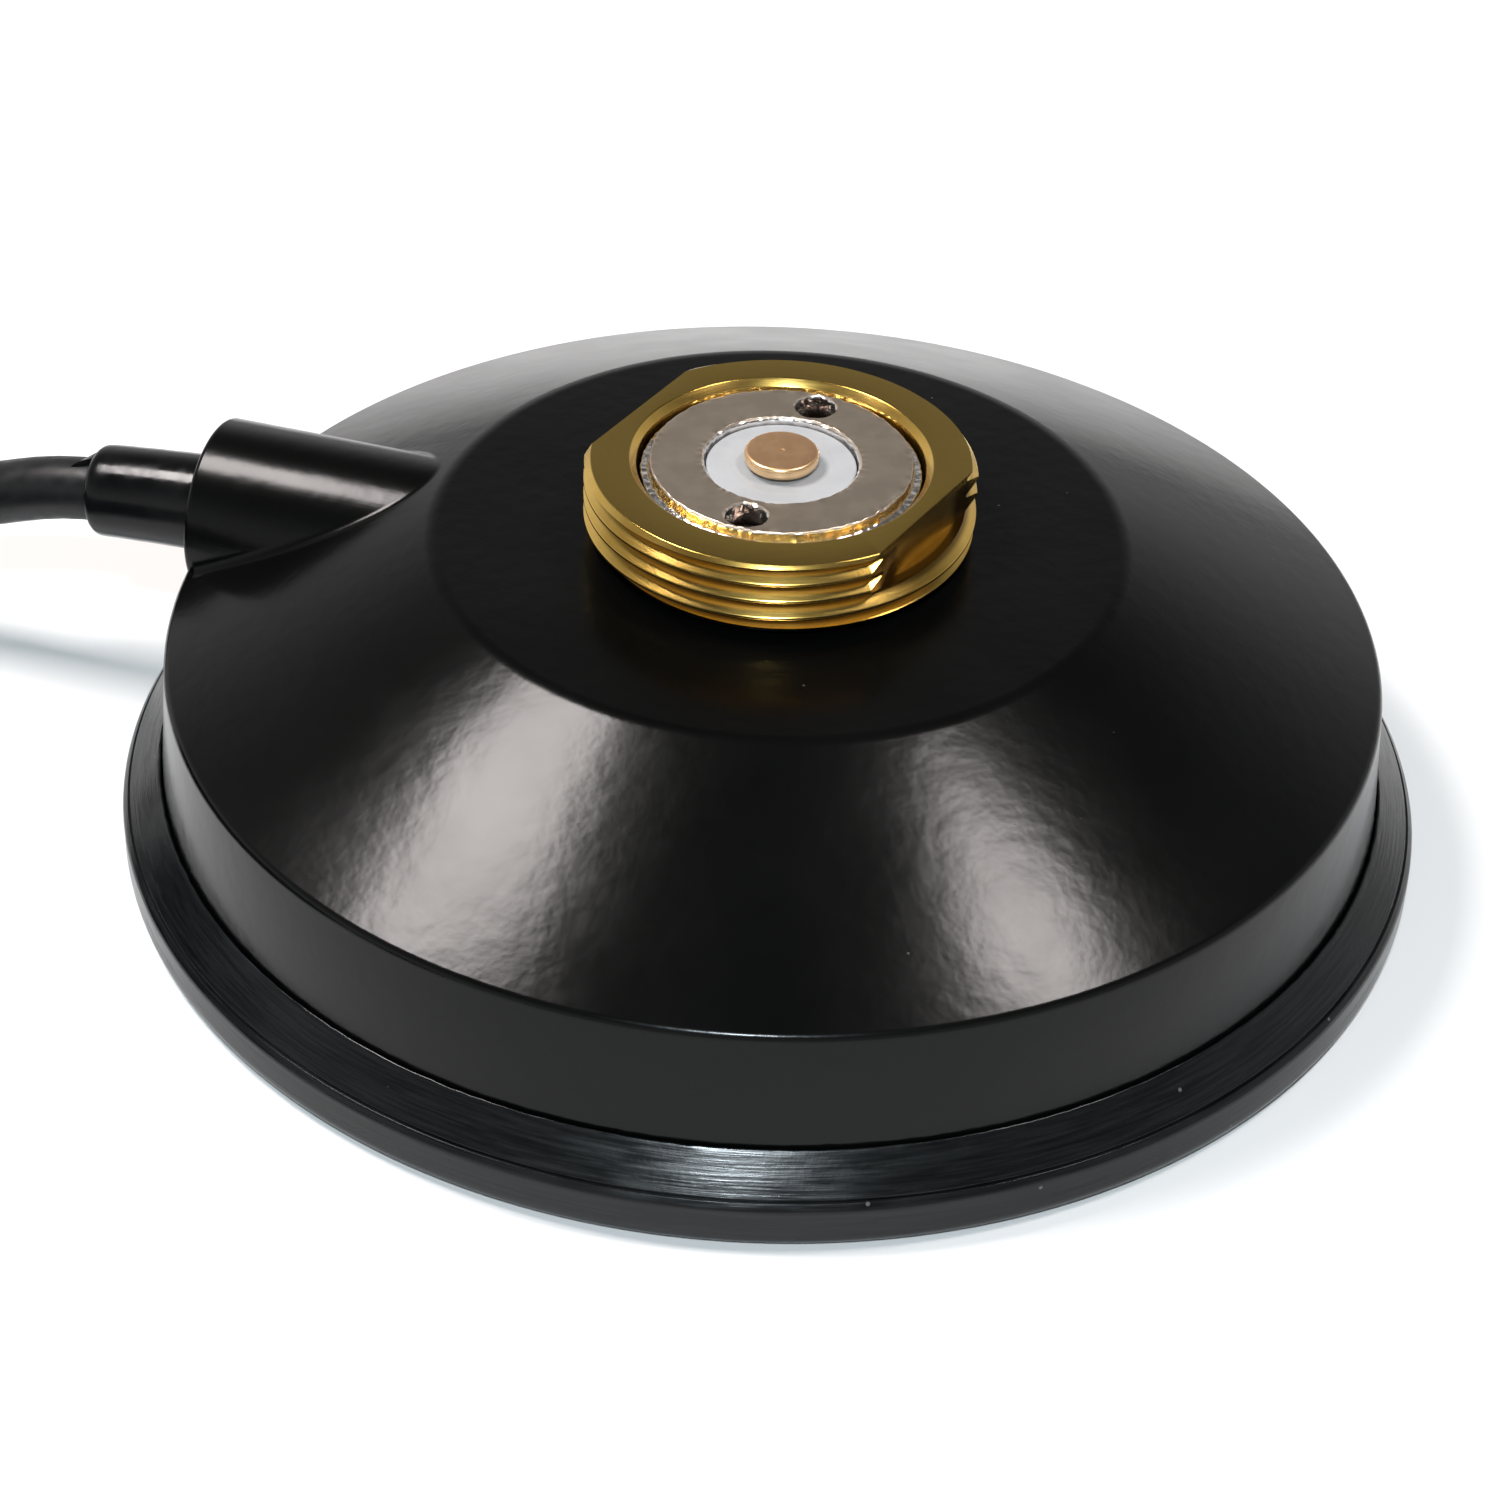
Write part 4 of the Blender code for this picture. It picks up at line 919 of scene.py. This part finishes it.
def fluted(bm, teeth, depth, least_r, low, high):
    """Press rounded grooves into a turned surface between two heights."""
    for vert in bm.verts:
        radius = math.hypot(vert.co.x, vert.co.y)
        if radius > least_r and low < vert.co.z < high:
            wave = 0.5 - 0.5 * math.cos(teeth * math.atan2(vert.co.y, vert.co.x))
            run_out = min(1.0, (vert.co.z - low) / depth, (high - vert.co.z) / depth)
            widen(vert, 1 - depth * wave**FLUTE_SHAPE * run_out / radius)


def plug_matrix():
    return axis_matrix((PLUG_X, PLUG_Y, PLUG_Z), Vector((1.0, 0.0, 0.0)))


def make_coupling_ring(material):
    """The knurled ring, threaded inside."""
    thread_start = RING_END - RING_THREAD
    thread_r = RING_BORE_R - RING_CREST
    profile = [
        (RING_MOUTH_R, RING_START, 0.2 * MM),
        (RING_R - RING_EDGE, RING_START, 0.3 * MM),
        (RING_R, RING_START + RING_EDGE, 0.2 * MM),
        (RING_R, RING_END - RING_EDGE, 0.2 * MM),
        (RING_R - RING_EDGE / 2, RING_END, 0.2 * MM),
        (RING_BORE_R + 0.1 * MM, RING_END, 0.2 * MM),
        (thread_r, RING_END - 0.6 * MM),
        (thread_r, thread_start - 0.3 * MM),
        (RING_BORE_R, thread_start - 0.7 * MM),
        (RING_BORE_R, RING_START + RING_LIP),
        (RING_MOUTH_R, RING_START + RING_LIP, 0.1 * MM),
    ]
    blank = turned_mesh(profile, FINE_STEPS, 0.5 * MM)
    margin = 1.5 * RING_EDGE
    fluted(blank, KNURLS, KNURL_DEPTH, RING_R - 0.5 * MM, RING_START + margin, RING_END - margin)
    ring = shaped("knurled_ring", blank)
    thread = thread_mesh(
        RING_BORE_R + 0.15 * MM, RING_PITCH, RING_THREAD_DEPTH, thread_start, RING_END - 0.2 * MM,
        SMALL_STEPS, RING_ROWS
    )
    carve(ring, thread)
    ring.data.transform(plug_matrix())
    return finish_piece(ring, material, "coupling_ring", "coupling_ring")


def make_plug_body(material):
    """The plug's body: a barrel with four solder holes, a flange and a notched nose."""
    flange_start = RING_START + RING_LIP + GAP
    nose_start = flange_start + PLUG_FLANGE
    web_end = flange_start + MM
    profile = [
        (PLUG_BORE_R, PLUG_BACK, 0.15 * MM),
        (PLUG_BARREL_R, PLUG_BACK, 0.3 * MM),
        (PLUG_BARREL_R, flange_start),
        (PLUG_FLANGE_R, flange_start, 0.15 * MM),
        (PLUG_FLANGE_R, nose_start, 0.2 * MM),
        (NOSE_R, nose_start),
        (NOSE_R, NOSE_END, 0.25 * MM),
        (NOSE_BORE_R, NOSE_END, 0.2 * MM),
        (NOSE_BORE_R, web_end),
        (WEB_BORE_R, web_end),
        (WEB_BORE_R, WEB_START),
        (PLUG_BORE_R, WEB_START),
    ]
    body = shaped("plug_barrel", turned_mesh(profile, MEDIUM_STEPS))
    lay = Matrix.Rotation(math.pi / 2, 4, "X")
    for azimuth in (math.pi / 4, 3 * math.pi / 4):
        drill = rod_mesh(SOLDER_HOLE_R, -RING_R, RING_R, DRILL_STEPS)
        turn = Matrix.Rotation(azimuth, 4, "Z")
        drill.transform(Matrix.Translation(UP * SOLDER_HOLE_AT) @ turn @ lay)
        carve(body, drill)
    for azimuth in (0.0, math.pi / 2):
        carve(body, box_mesh((2.5 * RING_R, NOSE_NOTCH, NOSE_NOTCH), UP * NOSE_END, azimuth))
    body.data.transform(plug_matrix())
    return finish_piece(body, material, "plug_body")


def make_small_plug_pieces(metal, white, glossy):
    """The adapter, insulator, pin and rear sleeve."""
    bore = CABLE_R + GAP / 2
    adapter_profile = [
        (bore, 0.0, 0.2 * MM),
        (ADAPTER_FLANGE_R, 0.0, 0.45 * MM),
        (ADAPTER_FLANGE_R, ADAPTER_FLANGE, 0.45 * MM),
        (ADAPTER_R, ADAPTER_FLANGE),
        (ADAPTER_R, ADAPTER_LENGTH, 0.3 * MM),
        (bore, ADAPTER_LENGTH),
    ]
    adapter = turned_mesh(adapter_profile, ADAPTER_STEPS, 0.4 * MM)
    least_r = ADAPTER_FLANGE_R - 0.5 * MM
    high = ADAPTER_FLANGE - FLUTE_MARGIN
    fluted(adapter, FLUTES, FLUTE_DEPTH, least_r, FLUTE_MARGIN, high)
    white_start = RING_START + RING_LIP + MM + 2 * GAP
    white_end = NOSE_END - WHITE_SINK
    insulator = [
        (WHITE_BORE_R, white_start, 0.2 * MM),
        (WHITE_R, white_start),
        (WHITE_R, white_end, 0.3 * MM),
        (WHITE_BORE_R, white_end, 0.15 * MM),
    ]
    pin_end = RING_END + PIN_OUT
    pin = [
        (0.0, RING_START + GAP),
        (PIN_R, RING_START + GAP),
        (PIN_R, pin_end, 0.75 * MM),
        (PIN_BORE_R, pin_end, 0.1 * MM),
        (PIN_BORE_R, pin_end - PIN_BORE_DEPTH),
        (0.0, pin_end - PIN_BORE_DEPTH - 0.2 * MM),
    ]
    sleeve = [
        (bore, -14.0 * MM, 0.1 * MM),
        (3.15 * MM, -14.0 * MM, 0.3 * MM),
        (3.3 * MM, -12.0 * MM, MM),
        (3.4 * MM, -6.0 * MM, MM),
        (3.38 * MM, -GAP, 0.25 * MM),
        (bore, -GAP),
    ]
    made = []
    for name, bm, material, node, slot in (
        ("reducing_adapter", adapter, metal, "plug_adapter", "plug_nickel"),
        ("plug_white", turned_mesh(insulator, SMALL_STEPS), white, "plug_insulator", "white_resin"),
        ("plug_centre", turned_mesh(pin, SMALL_STEPS), metal, "plug_pin", "plug_nickel"),
        ("plug_boot", turned_mesh(sleeve, SMALL_STEPS, MM), glossy, "plug_sleeve", "sleeve"),
    ):
        bm.transform(plug_matrix())
        made.append(finish_piece(shaped(name, bm), material, node))
    return made


class Nodes:
    """Short calls for the shader nodes used here."""

    def __init__(self, tree):
        self.nodes = tree.nodes
        self.links = tree.links

    def node(self, kind, inputs=None, **settings):
        made = self.nodes.new(f"ShaderNode{kind}")
        for key, value in settings.items():
            setattr(made, key, value)
        for key, value in (inputs or {}).items():
            self.feed(made.inputs[key], value)
        return made

    def feed(self, socket, value):
        """Link a socket, or give it a number or a colour."""
        if isinstance(value, bpy.types.NodeSocket):
            self.links.new(value, socket)
        else:
            socket.default_value = (*value, 1.0) if isinstance(value, tuple) else value

    def calc(self, operation, a, b):
        return self.node("Math", {0: a, 1: b}, operation=operation).outputs[0]

    def ramp(self, value, low, high, to_low=0.0, to_high=1.0, kind="SMOOTHSTEP"):
        inputs = {"Value": value, "From Min": low, "From Max": high, "To Min": to_low, "To Max": to_high}
        return self.node("MapRange", inputs, interpolation_type=kind).outputs["Result"]


class Look(Nodes):
    """A Principled material."""

    def __init__(self, name, color, roughness, metallic=0.0, specular=0.5):
        self.made = bpy.data.materials.new(name)
        self.made.use_nodes = True
        super().__init__(self.made.node_tree)
        self.shader = self.nodes["Principled BSDF"]
        self.set(Base_Color=color, Roughness=roughness, Metallic=metallic, Specular_IOR_Level=specular)
        self.where = self.node("TexCoord").outputs["Object"]
        self.normal = None

    def set(self, **values):
        for key, value in values.items():
            self.feed(self.shader.inputs[key.replace("_", " ")], value)

    def noise(self, scale, detail=2.0):
        inputs = {"Vector": self.where, "Scale": scale, "Detail": detail}
        return self.node("TexNoise", inputs).outputs["Fac"]

    def mottled(self, scale, detail, low, high, dark, light):
        """A colour that changes from one to another as noise goes from low to high."""
        return self.mix(self.ramp(self.noise(scale, detail), low, high), dark, light)

    def tint(self, *mottling):
        self.set(Base_Color=self.mottled(*mottling))

    def roughen(self, scale, detail, low, high):
        """A roughness that varies between two with noise."""
        self.set(Roughness=self.ramp(self.noise(scale, detail), 0.3, 0.7, low, high))

    def height(self):
        return self.node("SeparateXYZ", {"Vector": self.where}).outputs["Z"]

    def spots(self, scale, size):
        """1 in small scattered spots and 0 elsewhere."""
        cells = self.node("TexVoronoi", {"Vector": self.where, "Scale": scale})
        near = self.ramp(cells.outputs["Distance"], size, size * 0.5)
        pick = self.node("SeparateColor", {"Color": cells.outputs["Color"]}).outputs["Red"]
        return self.calc("MULTIPLY", near, self.ramp(pick, 0.8, 0.82))

    def mix(self, factor, a, b):
        """A colour between two."""
        return self.node("Mix", {0: factor, 6: a, 7: b}, data_type="RGBA").outputs[2]

    def bump(self, height, distance, strength=1.0):
        inputs = {"Height": height, "Distance": distance, "Strength": strength}
        if self.normal is not None:
            inputs["Normal"] = self.normal
        self.normal = self.node("Bump", inputs).outputs["Normal"]
        self.set(Normal=self.normal)

    def polar(self, plug=False):
        """Radius and height about the mount's axis or the plug's, and a vector round it."""
        x, y, z = self.node("SeparateXYZ", {0: self.where}).outputs
        if plug:
            x, y, z = self.calc("SUBTRACT", y, PLUG_Y), self.calc("SUBTRACT", z, PLUG_Z), x
        flat = self.node("CombineXYZ", {"X": x, "Y": y}).outputs[0]
        radius = self.node("VectorMath", {0: flat}, operation="LENGTH").outputs["Value"]
        spoke = self.node("VectorMath", {0: flat}, operation="NORMALIZE").outputs["Vector"]
        return radius, z, spoke

    def rings(self, across, along, plug=False):
        """Noise drawn out round an axis, as lathe or moulding marks are."""
        radius, z, spoke = self.polar(plug)
        drawn = self.node("VectorMath", {0: spoke, "Scale": along}, operation="SCALE").outputs[0]
        x, y, _ = self.node("SeparateXYZ", {0: drawn}).outputs
        level = self.calc("MULTIPLY", z, across)
        where = self.node("CombineXYZ", {"X": x, "Y": y, "Z": level}).outputs[0]
        reach = self.calc("MULTIPLY", radius, across)
        inputs = {"Vector": where, "W": reach, "Scale": 1.0}
        return self.node("TexNoise", inputs, noise_dimensions="4D").outputs["Fac"]


def paint_look():
    look = Look("satin_black_paint", (0.0025, 0.0027, 0.0025), 0.2, specular=0.175)
    dust = look.spots(420.0, 0.05)
    base = look.mottled(45.0, 2.0, 0.3, 0.7, (0.0011, 0.0012, 0.0011), (0.002, 0.0021, 0.002))
    look.set(Base_Color=look.mix(look.calc("MULTIPLY", dust, 0.35), base, (0.1, 0.1, 0.095)))
    look.roughen(160.0, 3.0, 0.18, 0.21)
    look.bump(look.noise(650.0, 2.0), 0.03 * MM, 0.7)
    look.bump(dust, 0.01 * MM)
    return look.made


def rubber_look():
    look = Look("moulded_rubber", (0.014, 0.0145, 0.0155), 0.5, specular=0.28)
    lines = look.rings(5200.0, 9.0)
    flecks = look.spots(520.0, 0.1)
    base = look.mix(look.ramp(lines, 0.35, 0.68), (0.002, 0.0024, 0.0026), (0.006, 0.0068, 0.0075))
    look.set(Base_Color=look.mix(look.calc("MULTIPLY", flecks, 0.5), base, (0.16, 0.16, 0.15)))
    look.set(Roughness=look.ramp(look.rings(2400.0, 14.0), 0.3, 0.7, 0.17, 0.28))
    look.bump(lines, 0.025 * MM, 0.6)
    look.bump(look.noise(2400.0, 3.0), 0.008 * MM, 0.6)
    return look.made


def brass_look():
    look = Look("turned_brass", (0.78, 0.5, 0.12), 0.3, 1.0)
    radius, z, _ = look.polar()
    marks = look.rings(22000.0, 5.0)
    base = look.mottled(260.0, 3.0, 0.35, 0.7, (0.8, 0.53, 0.14), (0.7, 0.44, 0.1))
    # Painted shade: the thread's roots, about 13.0 to 13.5 mm from the axis and below the top chamfer,
    # are darkened towards dark brown.
    deep = look.ramp(radius, 13.95 * MM, 13.5 * MM)
    side = look.calc("MULTIPLY", deep, look.ramp(z, NUT_TOP - 0.5 * MM, NUT_TOP - 0.7 * MM))
    root_shade = look.calc("MULTIPLY", side, look.ramp(radius, 12.7 * MM, 13.0 * MM))
    # Painted shade: the ring's top face is coloured a darker brown-gold than the rest.
    top = look.ramp(z, NUT_TOP - 0.08 * MM, NUT_TOP - 0.03 * MM)
    top_shaded = look.mix(top, base, (0.52, 0.345, 0.08))
    look.set(Base_Color=look.mix(look.calc("MULTIPLY", root_shade, 0.9), top_shaded, (0.16, 0.09, 0.02)))
    look.set(Roughness=look.ramp(marks, 0.3, 0.7, 0.17, 0.23))
    look.bump(marks, 0.003 * MM, 0.4)
    look.bump(look.noise(1500.0, 2.0), 0.006 * MM, 0.5)
    return look.made


def nickel_look():
    look = Look("plated_body", (0.52, 0.47, 0.43), 0.3, 1.0)
    z = look.height()
    base = look.mottled(500.0, 3.0, 0.35, 0.65, (0.54, 0.445, 0.35), (0.61, 0.51, 0.405))
    # Walls and ledges below the top face are coloured near-white: partly brighter worn plating, partly
    # painted highlight.
    rim = look.ramp(z, BODY_TOP - 0.05 * MM, BODY_TOP - 0.2 * MM)
    rim_highlight = look.mix(rim, base, (0.85, 0.82, 0.8))
    # Painted shade: from about 1.1 to 1.8 mm below the top face downwards, the holes, bore and gaps are
    # darkened to dark brown.
    deep = look.ramp(z, BODY_TOP - 1.1 * MM, BODY_TOP - 1.8 * MM)
    look.set(Base_Color=look.mix(deep, rim_highlight, (0.14, 0.11, 0.09)))
    look.set(Roughness=look.ramp(rim, 0.0, 1.0, 0.34, 0.16))
    look.bump(look.noise(2600.0, 3.0), 0.006 * MM, 0.5)
    look.bump(look.calc("MULTIPLY", look.noise(2600.0, 2.0), rim), 0.04 * MM, 0.9)
    return look.made


def resin_look():
    look = Look("white_insulator_resin", (0.45, 0.45, 0.45), 0.42)
    look.tint(380.0, 2.0, 0.35, 0.65, (0.29, 0.293, 0.298), (0.32, 0.323, 0.328))
    look.roughen(900.0, 2.0, 0.36, 0.5)
    look.bump(look.noise(2600.0, 2.0), 0.004 * MM, 0.5)
    return look.made


def copper_look():
    look = Look("contact_copper", (0.75, 0.47, 0.3), 0.34, 1.0)
    top = look.ramp(look.height(), CONTACT_TOP - 0.12 * MM, CONTACT_TOP - 0.02 * MM)
    face = look.mottled(700.0, 3.0, 0.35, 0.65, (0.66, 0.39, 0.21), (0.74, 0.46, 0.25))
    look.set(Base_Color=look.mix(top, (0.86, 0.6, 0.34), face))
    look.set(Roughness=look.ramp(top, 0.0, 1.0, 0.24, 0.4))
    look.bump(look.rings(6000.0, 6.0), 0.006 * MM, 0.4)
    return look.made


def jacket_look():
    look = Look("cable_jacket", (0.012, 0.012, 0.0125), 0.4, specular=0.3)
    look.tint(90.0, 3.0, 0.3, 0.7, (0.003, 0.0031, 0.0034), (0.006, 0.0062, 0.0066))
    look.roughen(700.0, 3.0, 0.34, 0.48)
    look.bump(look.noise(1400.0, 2.0), 0.01 * MM, 0.4)
    return look.made


def sleeve_look():
    look = Look("glossy_sleeve", (0.008, 0.008, 0.008), 0.16, specular=0.22)
    look.tint(200.0, 2.0, 0.3, 0.7, (0.0022, 0.0023, 0.0025), (0.004, 0.0041, 0.0043))
    look.roughen(600.0, 3.0, 0.12, 0.24)
    look.bump(look.noise(420.0, 2.0), 0.05 * MM, 0.5)
    look.bump(look.noise(2200.0, 2.0), 0.008 * MM, 0.5)
    return look.made


def nylon_look():
    look = Look("tie_nylon", (0.018, 0.018, 0.018), 0.45)
    look.tint(240.0, 2.0, 0.3, 0.7, (0.014, 0.014, 0.014), (0.024, 0.024, 0.023))
    look.roughen(900.0, 3.0, 0.36, 0.52)
    look.bump(look.noise(1800.0, 2.0), 0.008 * MM, 0.5)
    return look.made


def plug_metal_look():
    look = Look("plug_plating", (0.72, 0.7, 0.67), 0.2, 1.0)
    marks = look.rings(6000.0, 5.0, plug=True)
    look.tint(260.0, 3.0, 0.35, 0.65, (0.52, 0.51, 0.49), (0.6, 0.59, 0.57))
    look.set(Roughness=look.ramp(marks, 0.3, 0.7, 0.24, 0.32))
    look.bump(marks, 0.003 * MM, 0.3)
    return look.made


def zinc_look():
    look = Look("zinc_steel", (0.55, 0.56, 0.58), 0.36, 1.0)
    look.tint(300.0, 3.0, 0.35, 0.65, (0.48, 0.49, 0.51), (0.62, 0.63, 0.64))
    look.roughen(120.0, 2.0, 0.3, 0.46)
    look.bump(look.rings(5000.0, 5.0), 0.006 * MM, 0.5)
    return look.made


def ferrite_look():
    look = Look("magnet_ferrite", (0.04, 0.04, 0.043), 0.65)
    look.tint(500.0, 4.0, 0.35, 0.65, (0.03, 0.03, 0.033), (0.06, 0.06, 0.062))
    look.roughen(800.0, 3.0, 0.55, 0.75)
    look.bump(look.noise(1500.0, 4.0), 0.03 * MM, 0.6)
    return look.made


def dress_nodes(looks):
    """Give the CAD nodes that still show their procedural materials."""
    for name, look in looks.items():
        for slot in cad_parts[name].material_slots:
            slot.material = look


def make_floor():
    bm = bmesh.new()
    bmesh.ops.create_grid(bm, x_segments=2, y_segments=2, size=FLOOR_SIZE)
    floor = shaped("floor", bm)
    floor.location.z = -FLOOR_DROP
    look = Look("pale_floor", (0.71, 0.71, 0.705), 0.6)
    look.tint(3.0, 2.0, 0.3, 0.7, (0.7, 0.7, 0.695), (0.72, 0.72, 0.715))
    floor.data.materials.append(look.made)


def softbox(name, azimuth, elevation, distance, size, power, color):
    """A rectangular area light in a direction from the housing's top, aimed at it."""
    light = bpy.data.lights.new(name, "AREA")
    light.shape = "RECTANGLE"
    light.size, light.size_y = size
    light.energy = power
    light.color = color
    made = add(name, light)
    a = math.radians(azimuth)
    e = math.radians(elevation)
    direction = Vector((math.cos(a) * math.cos(e), math.sin(a) * math.cos(e), math.sin(e)))
    made.location = UP * TOP_Z + direction * distance
    made.rotation_euler = direction.to_track_quat("Z", "Y").to_euler()


def light_scene():
    """Three softboxes, and a white world that is brighter near the horizon and to the left."""
    softbox("left_softbox", 166.7, 59.5, 0.47, (0.15, 0.135), 2.4, WARM)
    softbox("right_softbox", -2.0, 63.2, 0.47, (0.085, 0.095), 1.05, WARM)
    softbox("front_softbox", 266.0, 48.0, 0.6, (0.06, 0.05), 3.2, COOL)
    world = bpy.data.worlds.new("studio")
    world.use_nodes = True
    sky = Nodes(world.node_tree)
    way = sky.node("TexCoord").outputs["Generated"]
    x, _, z = sky.node("SeparateXYZ", {0: way}).outputs
    upward = sky.ramp(z, WORLD_START, WORLD_END, WORLD_LOW, WORLD_HIGH)
    sideways = sky.ramp(x, -1.0, 1.0, WORLD_LEFT, WORLD_RIGHT, "LINEAR")
    background = sky.nodes["Background"].inputs
    sky.feed(background["Strength"], sky.calc("MULTIPLY", upward, sideways))
    sky.feed(background["Color"], (1.0, 1.0, 1.0))
    bpy.context.scene.world = world
    bpy.context.scene.view_settings.view_transform = "Standard"


def main():
    aim_camera()
    jacket = jacket_look()
    glossy = sleeve_look()
    nylon = nylon_look()
    plug_metal = plug_metal_look()
    white = resin_look()
    cable, line = make_cable(jacket)
    on_cable = [
        make_strain_relief(glossy, line),
        make_tie(1, nylon),
        make_tie(2, nylon),
        make_coupling_ring(plug_metal),
        make_plug_body(plug_metal),
        *make_small_plug_pieces(plug_metal, white, glossy),
    ]
    make_housing(paint_look())
    make_boot(rubber_look())
    make_nut(brass_look())
    make_connector_body(nickel_look())
    make_insulator(white)
    make_contact(copper_look())
    zinc = zinc_look()
    dress_nodes({
        "ring_magnet": ferrite_look(),
        "backing_plate": zinc,
        "pole_piece": zinc,
        "ground_washer": zinc,
        "crimp_ferrule": zinc,
        "ring_gasket": rubber_look(),
        "coax_conductor": copper_look(),
        "coax_dielectric": white,
        "cable_lead_in": jacket,
        "plug_core": white,
    })
    make_floor()
    light_scene()
    bpy.context.view_layer.update()


main()
